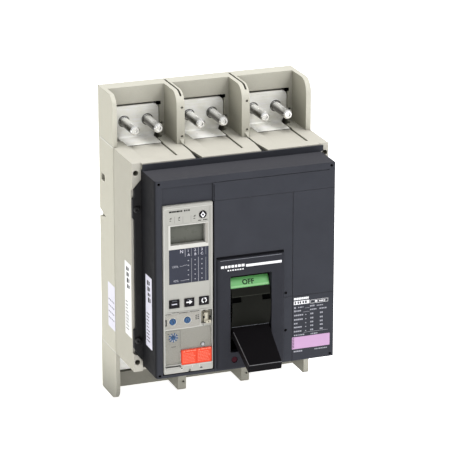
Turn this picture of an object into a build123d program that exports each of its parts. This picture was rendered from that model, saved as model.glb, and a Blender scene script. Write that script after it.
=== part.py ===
from build123d import *
import os
from math import cos, sin, radians, degrees, atan2, hypot, sqrt

# Three-pole air circuit breaker, fixed frame, toggle handle and electronic trip unit.
# Millimetres. X to the right seen from the front, Y to the back, Z up.
# The origin is the centre of the rear mounting plane; the front faces -Y.

# ---------------------------------------------------------------- driving dimensions
WIDTH = 210.0            # over the case
HEIGHT = 327.0           # over the terminal barriers
DEPTH = 147.0            # mounting plane to the face of the front cover
POLE_PITCH = 70.0
POLES = {"left": -POLE_PITCH, "centre": 0.0, "right": POLE_PITCH}
ENDS = {"top": 1, "bottom": -1}

HALF_W = WIDTH / 2
HALF_H = HEIGHT / 2
CASE_TOP = 110.0         # half height of the case without the barriers
BASE_FRONT = -47.0       # joint between the two halves of the case
CASE_FRONT = -101.0      # front wall of the case
FLANGE_FRONT = -105.0    # black frame under the cover
RIM_FRONT = -109.0       # rear rim of the front cover
RIM_TOP = 109.0
COVER_FRONT = -DEPTH
COVER_HALF_W = 95.3
COVER_TOP = 103.0
COVER_BOTTOM = -104.0
COVER_WALL = 3.0
CHAMBER_HALF = 27.5      # inside half width of a pole chamber
CHAMBER_TOP = 100.0
GAP = 0.3                # clearance round loose pieces

# terminals: a bolted pad and, below its crease, a narrower foot that enters the case
TERMINAL_HALF = 24.6
FOOT_HALF = 18.6
FOOT_TOP = 108.8
FOOT_FRONT = -41.3
WINDOW_HALF = 24.9
PAD_FACE = -15.0
PAD_TOP = 142.8
LINTEL_FRONT = -18.0
LINTEL_EDGE = {1: 145.6, -1: 144.2}    # outer edge of the pad windows, top and bottom end
LINTEL_TOP = {1: HALF_H, -1: 160.2}
WALL_TOP = {1: HALF_H, -1: 157.2}       # outer edge of the walls between the compartments
WALL_ROUND = {1: 14.0, -1: 3.0}
BOLT_SPACING = 25.0
BOLT_R = 4.85
BOLT_HOLE_R = 5.7
BOLT_NECK_R = 5.3
BOLT_Z = 126.5
BOLT_TIP = -51.0

# fixing holes in the back
FIXING_X = POLE_PITCH / 2
FIXING_Z = 87.5
FIXING_R = 4.25
FIXING_DEPTH = 30.0

# mechanism: the handle, the pole shaft and the links turn about X
HANDLE_X = 4.6
HANDLE_Y, HANDLE_Z = -102.8, -38.8
HANDLE_ANGLE = 30.2      # handle below the horizontal when off
SHUTTER_R = 48.8
SHUTTER_WALL = 2.0
SHAFT_Y, SHAFT_Z = -60.0, -12.0
SHAFT_R = 8.0
CARRIER_R = 17.0
CRANK_R = 26.0
CRANK_ANGLE = 12.0       # crank below the horizontal when off
LATCH_Y, LATCH_Z = -85.4, -62.0
LINK_LENGTH = 27.8
CONTACT_SWING = 24.0     # opening angle of the moving contacts

# screws: (distance from the middle, height) on both sides
COVER_SCREWS = [(91.5, -101.0), (91.2, 99.6)]
COVER_SCREW_R = 1.2
FLANGE_SCREWS = [(99.9, -76.3), (100.0, 62.4)]
CASE_SCREW_X, CASE_SCREW_Z = 100.8, 100.0

# trip unit
UNIT_FRONT = -148.6
UNIT_X0, UNIT_X1 = -87.6, -35.4
UNIT_Z0, UNIT_Z1 = -99.6, 76.8

# settings cover hinge
HINGE_Y, HINGE_Z = -147.0, -91.0

os.makedirs("parts", exist_ok=True)


# ---------------------------------------------------------------- helpers
def block(x0, x1, y0, y1, z0, z1):
    """A box between two corners."""
    return Pos((x0 + x1) / 2, (y0 + y1) / 2, (z0 + z1) / 2) * Box(abs(x1 - x0), abs(y1 - y0), abs(z1 - z0))


def rod_x(r, y, z, x0, x1):
    return Pos((x0 + x1) / 2, y, z) * Rot(0, 90, 0) * Cylinder(r, abs(x1 - x0))


def rod_y(r, x, z, y0, y1):
    return Pos(x, (y0 + y1) / 2, z) * Rot(90, 0, 0) * Cylinder(r, abs(y1 - y0))


def rod_z(r, x, y, z0, z1):
    return Pos(x, y, (z0 + z1) / 2) * Cylinder(r, abs(z1 - z0))


def side_prism(points, x0, x1):
    """Extrude a closed outline of (y, z) points along X."""
    wire = Polyline(*[(x0, y, z) for y, z in points], close=True)
    return extrude(make_face(wire), amount=x1 - x0, dir=(1, 0, 0))


def front_prism(points, y0, y1):
    """Extrude a closed outline of (x, z) points along Y."""
    wire = Polyline(*[(x, y0, z) for x, z in points], close=True)
    return extrude(make_face(wire), amount=y1 - y0, dir=(0, 1, 0))


def arc_sector(cy, cz, r0, r1, a0, a1, x0, x1):
    """Part of a tube about X; angles in degrees, 0 towards the front, positive upwards."""
    def at(r, a):
        return (x0, cy - r * cos(radians(a)), cz + r * sin(radians(a)))
    middle = (a0 + a1) / 2
    outline = [ThreePointArc(at(r1, a0), at(r1, middle), at(r1, a1)),
               Line(at(r1, a1), at(r0, a1)),
               ThreePointArc(at(r0, a1), at(r0, middle), at(r0, a0)),
               Line(at(r0, a0), at(r1, a0))]
    return extrude(make_face(outline), amount=x1 - x0, dir=(1, 0, 0))


def link(y0, z0, y1, z1, r, x0, x1):
    """A flat bar with round ends between two pivots."""
    length = hypot(y1 - y0, z1 - z0)
    angle = degrees(atan2(z1 - z0, y1 - y0))
    bar = Pos((x0 + x1) / 2, (y0 + y1) / 2, (z0 + z1) / 2) * Rot(angle, 0, 0) * Box(x1 - x0, length, 2 * r)
    return bar + rod_x(r, y0, z0, x0, x1) + rod_x(r, y1, z1, x0, x1)


def polar(cy, cz, r, angle):
    """Point at a distance and an angle from a pivot; 0 towards the front, positive upwards."""
    return cy - r * cos(radians(angle)), cz + r * sin(radians(angle))


def rounded(shape, axis, r, keep=lambda e: True):
    edges = [e for e in shape.edges().filter_by(axis) if keep(e.center())]
    return fillet(edges, r) if edges else shape


def flip(shape, end):
    """The same shape at the bottom end, mirrored about the middle of the height."""
    return shape if end > 0 else mirror(shape, about=Plane.XY)


def save(name, shape):
    solids = shape.solids() if hasattr(shape, "solids") else [shape]
    export_step(solids[0] if len(solids) == 1 else Compound(children=list(solids)), f"parts/{name}.step")
    print(f"{name}: {len(solids)} solid(s), {sum(s.volume for s in solids) / 1000:.1f} cm3")


# ---------------------------------------------------------------- case: rear half
def barrier(x0, x1, front, r, top=HALF_H):
    """One upright wall of a terminal compartment, its outer front corner rounded."""
    wall = block(x0, x1, front, 0, CASE_TOP - 2, top)
    corner = wall.edges().filter_by(Axis.X).sort_by(lambda e: e.center().Y - e.center().Z)[0]
    return fillet(corner, r)


def rear_base():
    partition_left, partition_right, slot_half = 5.5, 3.0, 1.0
    partition_front = -57.0
    foot_reach, foot_half, foot_rise = 4.5, 3.0, 6.0
    body = block(-HALF_W, HALF_W, BASE_FRONT, 0, -CASE_TOP, CASE_TOP)
    body = rounded(body, Axis.Z, 1.5, lambda c: c.Y > -1)
    adds, cuts = [], []
    for end in ENDS.values():
        adds.append(flip(barrier(-HALF_W, -HALF_W + 4.5, BASE_FRONT, 12.5), end))
        adds.append(flip(barrier(HALF_W - 5.5, HALF_W, partition_front, WALL_ROUND[end], WALL_TOP[end]), end))
        adds.append(flip(block(-HALF_W, HALF_W, LINTEL_FRONT, 0, CASE_TOP - 2, LINTEL_TOP[end]), end))
        for middle in (-FIXING_X, FIXING_X):
            adds.append(flip(barrier(middle - partition_left, middle + partition_right,
                                     partition_front, WALL_ROUND[end], WALL_TOP[end]), end))
            # pointed foot of the partition on top of the case
            root, tip, low = partition_front + 1, partition_front - foot_reach, CASE_TOP - 2
            plan = Polyline((middle - foot_half, root, low), (middle + foot_half, root, low),
                            (middle, tip, low), close=True)
            slope = side_prism([(root, low), (tip, low), (tip, CASE_TOP), (root, CASE_TOP + foot_rise)],
                               middle - 6, middle + 6)
            adds.append(flip(extrude(make_face(plan), amount=foot_rise + 3, dir=(0, 0, 1)) & slope, end))
            cuts.append(flip(block(middle - slot_half, middle + slot_half, partition_front + 3.5, -4,
                                   112, 170), end))
            for hole_z in (117.6, 147.7):
                cuts.append(flip(rod_y(1.25, middle, hole_z, partition_front - 1, partition_front + 3), end))
        for pole in POLES.values():
            cuts.append(flip(block(pole - WINDOW_HALF, pole + WINDOW_HALF, LINTEL_FRONT - 1, -4.5,
                                   96, LINTEL_EDGE[end]), end))
            cuts.append(flip(block(pole - FOOT_HALF - GAP, pole + FOOT_HALF + GAP, BASE_FRONT - 1, -4.5,
                                   96, CASE_TOP + 1), end))
            for side in (-1, 1):
                cuts.append(flip(rod_z(6.5, pole + side * 19.5, -22, 104, CASE_TOP + 1), end))
            cuts.append(flip(rod_y(1.25, pole + 26.9, 122.5, LINTEL_FRONT - 1, LINTEL_FRONT + 6), end))
    cuts.append(block(-HALF_W, HALF_W, -70, BASE_FRONT, -CASE_TOP, CASE_TOP))
    for pole in POLES.values():
        cuts.append(block(pole - CHAMBER_HALF, pole + CHAMBER_HALF, BASE_FRONT - 1, -6,
                          -CHAMBER_TOP, CHAMBER_TOP))
    for x in (-FIXING_X, FIXING_X):
        for z in (-FIXING_Z, FIXING_Z):
            cuts.append(rod_y(FIXING_R, x, z, -FIXING_DEPTH, 1))
    for side in (-1, 1):
        inner, outer = side * (HALF_W - 3.5), side * (HALF_W + 1)
        cuts.append(block(inner, outer, -19, -8, 66, 73))
        notch = side_prism([(1, 24.5), (-20, 29), (1, 33.5)], min(inner, outer), max(inner, outer))
        cuts.append(notch)
        for z in (-CASE_SCREW_Z, CASE_SCREW_Z):
            cuts.append(rod_y(2.3, side * CASE_SCREW_X, z, BASE_FRONT - 1, -12))
    return (body + adds) - cuts


# ---------------------------------------------------------------- case: front half
def front_case():
    half_w = HALF_W - 0.3
    boss_inner = COVER_HALF_W
    body = block(-half_w, half_w, CASE_FRONT, BASE_FRONT, -CASE_TOP, CASE_TOP)
    adds = [block(-boss_inner + 0.4, boss_inner - 0.4, -106.9, CASE_FRONT, COVER_TOP + 0.9, CASE_TOP)]
    cuts = []
    for side in (-1, 1):
        top = [(side * half_w, CASE_TOP), (side * boss_inner, CASE_TOP), (side * boss_inner, 93.1),
               (side * half_w, 83.0)]
        bottom = [(side * half_w, -90.6), (side * 100.4, -92.6), (side * boss_inner, -99.4),
                  (side * boss_inner, -CASE_TOP), (side * half_w, -CASE_TOP)]
        adds += [front_prism(top, FLANGE_FRONT, CASE_FRONT), front_prism(bottom, FLANGE_FRONT, CASE_FRONT)]
        for z in (-CASE_SCREW_Z, CASE_SCREW_Z):
            cuts.append(rod_y(2.8, side * CASE_SCREW_X, z, FLANGE_FRONT - 1, BASE_FRONT + 1))
        for x, z in FLANGE_SCREWS:
            cuts.append(rod_y(1.9, side * x, z, CASE_FRONT - 1, CASE_FRONT + 13))
        for x, z in COVER_SCREWS:
            cuts.append(rod_y(COVER_SCREW_R + 0.25, side * x, z, CASE_FRONT - 1, CASE_FRONT + 3.9))
    for pole in POLES.values():
        cuts.append(block(pole - CHAMBER_HALF, pole + CHAMBER_HALF, CASE_FRONT + 4, BASE_FRONT + 1,
                          -CHAMBER_TOP, CHAMBER_TOP + 3))
        for end in ENDS.values():
            panel = block(pole - 18, pole + 18, -92, BASE_FRONT + 1, CASE_TOP - 1.3, CASE_TOP + 1)
            crack = block(pole + 17.1, pole + 18, -92, BASE_FRONT + 1, CASE_TOP - 5.0, CASE_TOP + 1)
            cuts += [flip(panel, end), flip(crack, end)]
    # open joint between two poles, flared towards the cover
    for x in (-FIXING_X, FIXING_X):
        for end in ENDS.values():
            cuts.append(flip(block(x - 1, x + 1, -108, BASE_FRONT + 1, 93, CASE_TOP + 1), end))
            mouth = Polyline((x - 1, -82, 93), (x + 1, -82, 93), (x + 3.7, -108, 93),
                             (x - 3.7, -108, 93), close=True)
            cuts.append(flip(extrude(make_face(mouth), amount=CASE_TOP - 92, dir=(0, 0, 1)), end))
    # passage for the links and the handle, bearings of the pole shaft
    cuts.append(block(HANDLE_X - 22.4, 27.4, CASE_FRONT - 1, CASE_FRONT + 5, -92, 12))
    cuts.append(rod_x(SHAFT_R + 0.4, SHAFT_Y, SHAFT_Z, -99, 99))
    # passage for the wires of the current transformers
    cuts.append(block(-66, -54, CASE_FRONT - 1, CASE_FRONT + 5, -72, -62))
    # bracket of the trip bar
    for x0 in (-30.5, -26.0):
        lug = block(x0, x0 + 2, -129, CASE_FRONT, -79, -71)
        adds.append(lug)
        cuts.append(rod_x(2.6, -125, -75, x0 - 1, x0 + 3))
    # sockets of the pins that carry the mechanism plates
    for y, z in MECHANISM_STUBS:
        cuts.append(rod_x(2.6, y, z, -CHAMBER_HALF - 3, -CHAMBER_HALF + 1))
        cuts.append(rod_x(2.6, y, z, CHAMBER_HALF - 1, CHAMBER_HALF + 3))
    return (body + adds) - cuts


MECHANISM_STUBS = [(-84, -2), (-84, -72)]


def mid_flange():
    half_w = HALF_W - 2.7
    inner = COVER_HALF_W - 0.4
    foot = COVER_HALF_W + 4.6
    right_edge = [(inner, -106), (inner, -98.6), (foot, -91.6), (half_w, -90.2), (half_w, 85.0),
                  (inner, 92.7), (inner, COVER_TOP + 0.6)]
    left_edge = [(-x, z) for x, z in reversed(right_edge)]
    plate = front_prism(right_edge + left_edge, FLANGE_FRONT, CASE_FRONT)
    adds, cuts = [], [block(-85, 85, FLANGE_FRONT - 1, CASE_FRONT + 1, -92, 92)]
    for side in (-1, 1):
        edge, out = side * (half_w - 1), side * (HALF_W - 0.8)
        for z0, z1 in ((-88, -63), (50, 76)):
            adds.append(front_prism([(edge, z0), (out, z0 + 3), (out, z1 - 3), (edge, z1)],
                                    FLANGE_FRONT, CASE_FRONT))
        for x, z in FLANGE_SCREWS:
            cuts.append(rod_y(2.1, side * x, z, FLANGE_FRONT - 1, CASE_FRONT + 1))
        for x, z in COVER_SCREWS:
            cuts.append(rod_y(COVER_SCREW_R + 0.25, side * x, z, FLANGE_FRONT - 1, CASE_FRONT + 1))
    return (plate + adds) - cuts


# ---------------------------------------------------------------- covers
BAY = (-88.3, -34.7, -101.0, 95.6)                 # trip unit bay in the front cover
ACCESSORY = (-33.6, COVER_HALF_W, COVER_BOTTOM, 76.3)
SLOT_HALF = 22.0
SLOT_Z0, SLOT_Z1 = -84.8, -3.8
SURROUND = (-31.6, 40.4, -101.5, 17.2)             # opening for the handle surround


def cover_shell():
    """Hollow box that the front cover and the accessory cover are cut from."""
    w = COVER_WALL
    outer = block(-COVER_HALF_W, COVER_HALF_W, COVER_FRONT, FLANGE_FRONT, COVER_BOTTOM, COVER_TOP)
    outer = rounded(outer, Axis.Z, 4.0, lambda c: c.Y < COVER_FRONT + 1 and c.X < 0)
    outer = rounded(outer, Axis.Z, 1.0, lambda c: c.Y < COVER_FRONT + 1 and c.X > 0)
    outer = rounded(outer, Axis.X, 0.9, lambda c: c.Y < COVER_FRONT + 1)
    inner = block(-COVER_HALF_W + w, COVER_HALF_W - w, COVER_FRONT + w, FLANGE_FRONT + 1,
                  COVER_BOTTOM + w, COVER_TOP - w)
    shell = outer - inner
    pillars = [rod_y(4.2, side * x, z, COVER_FRONT + 2, FLANGE_FRONT)
               for side in (-1, 1) for x, z in COVER_SCREWS]
    pillars = [p & block(-COVER_HALF_W + 1, COVER_HALF_W - 1, COVER_FRONT, FLANGE_FRONT,
                         COVER_BOTTOM + 1, COVER_TOP - 1) for p in pillars]
    return (shell + pillars) - cover_screw_holes()


def cover_screw_holes():
    return [rod_y(COVER_SCREW_R + 0.25, side * x, z, COVER_FRONT - 1, FLANGE_FRONT + 1)
            for side in (-1, 1) for x, z in COVER_SCREWS]


def front_cover(shell):
    x0, x1, z0, z1 = BAY
    ax0, ax1, az0, az1 = ACCESSORY
    divider_x1 = ax0 - GAP
    rim = block(-COVER_HALF_W + 0.5, COVER_HALF_W - 0.5, RIM_FRONT, -107.1, 90, RIM_TOP)
    rim = rim - block(-COVER_HALF_W + 6, COVER_HALF_W - 6, RIM_FRONT - 1, -106, 80, COVER_TOP - COVER_WALL)
    rim_end = block(COVER_HALF_W - 1, COVER_HALF_W + 2.3, RIM_FRONT, -107.1, COVER_TOP, RIM_TOP)
    rim_groove = block(-COVER_HALF_W - 1, COVER_HALF_W + 1, RIM_FRONT - 1.1, RIM_FRONT,
                       COVER_TOP - 0.9, COVER_TOP + 1)
    bay = block(x0, x1, COVER_FRONT - 1, COVER_FRONT + 4, z0, z1)
    # recessed floor of the bay above the trip unit
    shelf = block(x0 - 1, x1 + 0.2, COVER_FRONT + 1.6, COVER_FRONT + 4.2, UNIT_Z1 + 0.5, z1 + 1)
    right = block(divider_x1, ax1 + 1, COVER_FRONT - 1, RIM_FRONT - 2.9, az0 - 1, az1 + GAP)
    # the strip between the bay and the accessory cover lies deep behind the face
    strip = block(x1 - 0.1, divider_x1 + 0.1, COVER_FRONT - 1, COVER_FRONT + 4, z0, az1 + GAP)
    divider = block(x1, divider_x1, COVER_FRONT + 4, FLANGE_FRONT, COVER_BOTTOM + 2, az1 + 6)
    ledge = block(x1, COVER_HALF_W - COVER_WALL, COVER_FRONT + 3.2, COVER_FRONT + 5.2, az1 - 4.3, az1 + 8)
    ledge_root = block(x1, COVER_HALF_W - COVER_WALL, COVER_FRONT + 2.8, COVER_FRONT + 5.2, az1 + 1, az1 + 8)
    grooves = [block(x1, 89, COVER_FRONT - 1, COVER_FRONT + 0.7, 95.2, 96.0),
               block(-34.3, -33.2, COVER_FRONT - 1, COVER_FRONT + 0.8, az1, 93.5)]
    cover = shell - [bay, right, strip, rim_groove] - grooves
    return cover + [rim, rim_end, shelf, divider, ledge, ledge_root] - cover_screw_holes()


def accessory_cover(shell):
    ax0, ax1, az0, az1 = ACCESSORY
    piece = shell & block(ax0, ax1 + 1, COVER_FRONT - 1, RIM_FRONT - 3.2, az0 - 1, az1)
    sx0, sx1, sz0, sz1 = SURROUND
    cuts = [block(sx0, sx1, COVER_FRONT - 1, COVER_FRONT + 6, sz0, sz1)]
    seam = 0.6
    cuts.append(block(50 - seam / 2, 50 + seam / 2, COVER_FRONT - 1, COVER_FRONT + 0.7, COVER_BOTTOM, az1))
    cuts.append(block(40.4, 50, COVER_FRONT - 1, COVER_FRONT + 0.5, -34.3, -33.7))
    cuts.append(block(50, COVER_HALF_W + 1, COVER_FRONT - 1, COVER_FRONT + 0.5, -34.3, -33.7))
    for z in (-69.5, -29.5):
        cuts.append(rod_y(1.5, 42.8, z, COVER_FRONT - 1, COVER_FRONT + 6))
    return piece - cuts


def handle_escutcheon():
    """Raised frame round the handle, with a rounded left edge and the slot of the handle."""
    proud = COVER_FRONT - 2.6
    sx0, sx1, sz0, sz1 = SURROUND
    top = sz1 - 2.6                                # a shadow gap is left above it
    body = block(sx0 + GAP, sx1 - GAP, proud, COVER_FRONT + 6, sz0 + GAP, top)
    body = rounded(body, Axis.Z, 4.0, lambda c: c.Y < proud + 1 and c.X < 0)
    body = rounded(body, Axis.Z, 2.2, lambda c: c.Y < proud + 1 and c.X > 0)
    flange = block(sx0 - 1.6, sx1 + 3, COVER_FRONT + 3.2, COVER_FRONT + 6, sz0 + 0.8, sz1 + 3)
    slot = block(HANDLE_X - SLOT_HALF, HANDLE_X + SLOT_HALF, proud - 1, COVER_FRONT + 8, SLOT_Z0, SLOT_Z1)
    slot = rounded(slot, Axis.Y, 1.0)
    button = rod_y(3.4, -13.0, -92.8, proud - 1, COVER_FRONT + 8)
    return (body + flange) - [slot, button]


# ---------------------------------------------------------------- handle
def toggle_handle():
    half_root, half_tip = 20.0, 17.7
    top_root, top_tip = (-147.0, -59.5), (-190.5, -84.8)
    low_tip = (-188.4, -93.2)
    slope = (top_tip[1] - top_root[1]) / (top_tip[0] - top_root[0])
    low_root = (-143.0, low_tip[1] + slope * (-143.0 - low_tip[0]))
    back_top = (-143.0, top_root[1] + slope * (-143.0 - top_root[0]))
    outline = [back_top, top_tip, low_tip, low_root]
    paddle = side_prism(outline, HANDLE_X - half_root, HANDLE_X + half_root)
    # both flanks draw in towards the tip
    for side in (-1, 1):
        x_root, x_tip, out = HANDLE_X + side * half_root, HANDLE_X + side * half_tip, HANDLE_X + side * 30
        wedge = Polyline((x_root, -150, -120), (x_tip, -191, -120), (out, -191, -120), (out, -150, -120),
                         close=True)
        paddle = paddle - extrude(make_face(wedge), amount=90, dir=(0, 0, 1))
    edges = [e for e in paddle.edges() if e.center().Y < -150]
    paddle = fillet(edges, 1.0)
    paddle = paddle - rod_x(SHUTTER_R, HANDLE_Y, HANDLE_Z, -30, 40)
    inner = polar(HANDLE_Y, HANDLE_Z, 40, -HANDLE_ANGLE)
    outer = polar(HANDLE_Y, HANDLE_Z, 51, -HANDLE_ANGLE)
    tang = link(*inner, *outer, 3.6, HANDLE_X - 12, HANDLE_X + 12)
    tang = tang & arc_sector(HANDLE_Y, HANDLE_Z, 38, 50.5, -60, 0, -20, 30)
    return paddle + tang


def handle_shutter(handle):
    plate = arc_sector(HANDLE_Y, HANDLE_Z, SHUTTER_R - SHUTTER_WALL, SHUTTER_R, -130, 42,
                       HANDLE_X - 20.6, HANDLE_X + 20.6)
    flags = [arc_sector(HANDLE_Y, HANDLE_Z, SHUTTER_R - 0.6, SHUTTER_R + 1, a0, a1,
                        HANDLE_X - 20.7, HANDLE_X + 20.7) for a0, a1 in (FLAG_OFF, FLAG_ON)]
    pockets = [arc_sector(HANDLE_Y, HANDLE_Z, SHUTTER_R - 1.4, SHUTTER_R + 1, 8.0, 14.5, x0, x1)
               for x0, x1 in ((HANDLE_X - 21, HANDLE_X - 10.6), (HANDLE_X + 11.4, HANDLE_X + 21))]
    return plate - flags - pockets - handle


FLAG_OFF = (25.5, 38.5)
FLAG_ON = (-92.0, -78.0)


def flag(limits):
    a0, a1 = limits
    return arc_sector(HANDLE_Y, HANDLE_Z, SHUTTER_R - 0.6, SHUTTER_R, a0 + 0.1, a1 - 0.1,
                      HANDLE_X - 20.6, HANDLE_X + 20.6)


def handle_yoke(handle):
    """Two steel arms from the pivot stubs to a bridge that holds the handle's tang."""
    arms = []
    tip = polar(HANDLE_Y, HANDLE_Z, 41, -HANDLE_ANGLE)
    for side in (-1, 1):
        x0, x1 = sorted((HANDLE_X + side * 12.3, HANDLE_X + side * 15.1))
        arm = link(HANDLE_Y, HANDLE_Z, *tip, 5.0, x0, x1)
        arms.append(arm - rod_x(3.6, HANDLE_Y, HANDLE_Z, x0 - 1, x1 + 1))
    bridge_at = polar(HANDLE_Y, HANDLE_Z, 42.5, -HANDLE_ANGLE)
    bridge = Pos(HANDLE_X, *bridge_at) * Rot(HANDLE_ANGLE, 0, 0) * Box(30.2, 4, 10)
    return (arms[0] + [arms[1], bridge]) - handle


def main_springs():
    """Two coil springs between the yoke's bridge and the knee of the links."""
    springs = []
    for side in (-1, 1):
        coil = Helix(pitch=2.4, height=20.4, radius=3.2)
        wire = Wire([coil])
        section = Plane(origin=wire @ 0, z_dir=wire % 0) * Circle(0.7)
        spring = sweep(section, path=wire, is_frenet=True)
        start = polar(HANDLE_Y, HANDLE_Z, 16.5, -HANDLE_ANGLE)
        springs.append(Pos(HANDLE_X + side * 4.9, *start) * Rot(90 + HANDLE_ANGLE, 0, 0) * spring)
    return Compound(children=springs)


# ---------------------------------------------------------------- operating mechanism
def mechanism_side_plates():
    r = SHUTTER_R - SHUTTER_WALL - 1.8
    plates = []
    for side in (-1, 1):
        x0, x1 = sorted((HANDLE_X + side * 17.4, HANDLE_X + side * 20.2))
        disc = rod_x(r - 10, HANDLE_Y, HANDLE_Z, x0, x1)
        disc = disc & block(x0, x1, -160, -78, -160, 60)
        back = block(x0, x1, -96, -78, -76.5, 1.5)
        plate = (disc + back) - rod_x(3.6, HANDLE_Y, HANDLE_Z, x0 - 1, x1 + 1)
        plate = plate - rod_x(3.1, LATCH_Y, LATCH_Z, x0 - 1, x1 + 1)
        for y, z in MECHANISM_STUBS:
            plate = plate - rod_x(2.6, y, z, x0 - 1, x1 + 1)
        window = rod_x(9, -120, -38.8, x0 - 1, x1 + 1)
        plates.append(plate - window)
    return Compound(children=plates)


def mechanism_pins():
    pins = [rod_x(3.0, LATCH_Y, LATCH_Z, HANDLE_X - 22, HANDLE_X + 22)]
    for side in (-1, 1):
        pivot = sorted((HANDLE_X + side * 12.0, HANDLE_X + side * 21.4))
        pins.append(rod_x(3.5, HANDLE_Y, HANDLE_Z, *pivot))
        wall = side * (CHAMBER_HALF + 2.5)
        for y, z in MECHANISM_STUBS:
            pins.append(rod_x(2.5, y, z, *sorted((HANDLE_X + side * 17.0, wall))))
    return Compound(children=pins)


CRANK = polar(SHAFT_Y, SHAFT_Z, CRANK_R, -CRANK_ANGLE)
KNEE = (LATCH_Y - sqrt(LINK_LENGTH ** 2 - ((CRANK[1] - LATCH_Z) / 2) ** 2), (CRANK[1] + LATCH_Z) / 2)


def toggle_links():
    """Lower links, from the crank of the pole shaft to the knee, with the knee pin."""
    links = []
    for side in (-1, 1):
        x0, x1 = sorted((HANDLE_X + side * 8.6, HANDLE_X + side * 11.4))
        links.append(link(*CRANK, *KNEE, 5.5, x0, x1) - rod_x(3.15, *CRANK, x0 - 1, x1 + 1))
    return links[0] + [links[1], rod_x(2.5, *KNEE, HANDLE_X - 11.4, HANDLE_X + 11.4)]


def latch_links():
    """Upper links, from the latch pivot to the knee, with a wide eye at the knee."""
    links = []
    for side in (-1, 1):
        x0, x1 = sorted((HANDLE_X + side * 4.7, HANDLE_X + side * 7.7))
        bar = link(LATCH_Y, LATCH_Z, *KNEE, 6.0, x0, x1) + rod_x(9.2, *KNEE, x0, x1)
        links.append(bar - rod_x(3.1, LATCH_Y, LATCH_Z, x0 - 1, x1 + 1) - rod_x(6.2, *KNEE, x0 - 1, x1 + 1))
    tube = rod_x(5.2, LATCH_Y, LATCH_Z, HANDLE_X - 4.7, HANDLE_X + 4.7)
    return links[0] + [links[1], tube - rod_x(3.1, LATCH_Y, LATCH_Z, HANDLE_X - 6, HANDLE_X + 6)]


def moving_contact(pole):
    """Four copper fingers on one heel, drawn in the open position."""
    tip_closed = (-28.5, 38.0)
    root = (SHAFT_Y + 9, SHAFT_Z + 15)
    fingers = []
    for i in range(4):
        x0 = pole - 19 + 9.8 * i
        arm = link(*root, *tip_closed, 4.5, x0, x0 + 8.6)
        arm = arm & block(x0, x0 + 8.6, -90, -24.4, -60, 43)
        fingers.append(arm)
    heel = block(pole - 19, pole + 19, SHAFT_Y - 2, SHAFT_Y + 18, SHAFT_Z + 10.5, SHAFT_Z + 21)
    closed = fingers[0] + fingers[1:] + [heel]
    return closed.rotate(Axis((0, SHAFT_Y, SHAFT_Z), (1, 0, 0)), CONTACT_SWING)


def pole_shaft(contacts):
    bar = rod_x(SHAFT_R, SHAFT_Y, SHAFT_Z, -98.5, 98.5)
    shaft = bar
    for contact, pole in contacts:
        shaft = shaft + (rod_x(CARRIER_R, SHAFT_Y, SHAFT_Z, pole - 22, pole + 22) - contact)
    crank = link(SHAFT_Y - 10, SHAFT_Z - 2, *CRANK, 6.0, HANDLE_X - 4, HANDLE_X + 4)
    pin = rod_x(3.0, *CRANK, HANDLE_X - 12, HANDLE_X + 12)
    return shaft + [crank, pin]


# ---------------------------------------------------------------- current path
def terminal(end, pole):
    """Silver-plated copper bar: bolted pad outside, foot over the case edge, conductor inside."""
    back, crease_r, nose_r, thick = -5.0, 2.5, 2.5, 6.0
    pad = block(pole - TERMINAL_HALF, pole + TERMINAL_HALF, PAD_FACE, back, 101, PAD_TOP)
    pad = rounded(pad, Axis.Y, 6.0, lambda c: c.Z > PAD_TOP - 1)
    x0, x1 = pole - FOOT_HALF, pole + FOOT_HALF
    half_turn = cos(radians(45))
    crease = ThreePointArc((x0, PAD_FACE, FOOT_TOP + crease_r),
                           (x0, PAD_FACE - crease_r * (1 - half_turn), FOOT_TOP + crease_r * (1 - half_turn)),
                           (x0, PAD_FACE - crease_r, FOOT_TOP))
    nose = ThreePointArc((x0, FOOT_FRONT + nose_r, FOOT_TOP),
                         (x0, FOOT_FRONT + nose_r * (1 - half_turn), FOOT_TOP - nose_r * (1 - half_turn)),
                         (x0, FOOT_FRONT, FOOT_TOP - nose_r))
    rest = Polyline((x0, FOOT_FRONT, FOOT_TOP - nose_r), (x0, FOOT_FRONT, FOOT_TOP - thick),
                    (x0, back - 2, FOOT_TOP - thick), (x0, back - 2, FOOT_TOP + crease_r),
                    (x0, PAD_FACE, FOOT_TOP + crease_r))
    level = Line((x0, PAD_FACE - crease_r, FOOT_TOP), (x0, FOOT_FRONT + nose_r, FOOT_TOP))
    foot = extrude(make_face([crease, level, nose, *rest.edges()]), amount=x1 - x0, dir=(1, 0, 0))
    cuts = [rod_y(BOLT_HOLE_R, pole + s * BOLT_SPACING / 2, BOLT_Z, PAD_FACE - 20, 0) for s in (-1, 1)]
    cuts += [rod_y(5.0, pole + s * TERMINAL_HALF, FOOT_TOP, PAD_FACE - 1, 0) for s in (-1, 1)]
    bar = (pad + foot) - cuts
    if end > 0:
        inside = block(pole - 22, pole + 22, PAD_FACE, -7, 28, 102)
        contact = block(pole - 19, pole + 19, -23.9, PAD_FACE, 30, 45)
        return bar + [inside, contact]
    inside = block(pole - 22, pole + 22, PAD_FACE, -7, 44, 102)
    return flip(bar + inside, end)


def terminal_bolts(end):
    """Bolts that stand out of the pads, each with a plain neck through the pad."""
    bolts = []
    for pole in POLES.values():
        for side in (-1, 1):
            x = pole + side * BOLT_SPACING / 2
            shank = rod_y(BOLT_R, x, BOLT_Z, BOLT_TIP, PAD_FACE)
            shank = chamfer(shank.edges().filter_by(GeomType.CIRCLE).sort_by(Axis.Y)[0], 1.2)
            shank = shank - rod_y(2.4, x, BOLT_Z, BOLT_TIP - 1, BOLT_TIP + 1.2)
            bolts.append(flip(shank + rod_y(BOLT_NECK_R, x, BOLT_Z, PAD_FACE, -4.9), end))
    return Compound(children=bolts)


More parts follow.
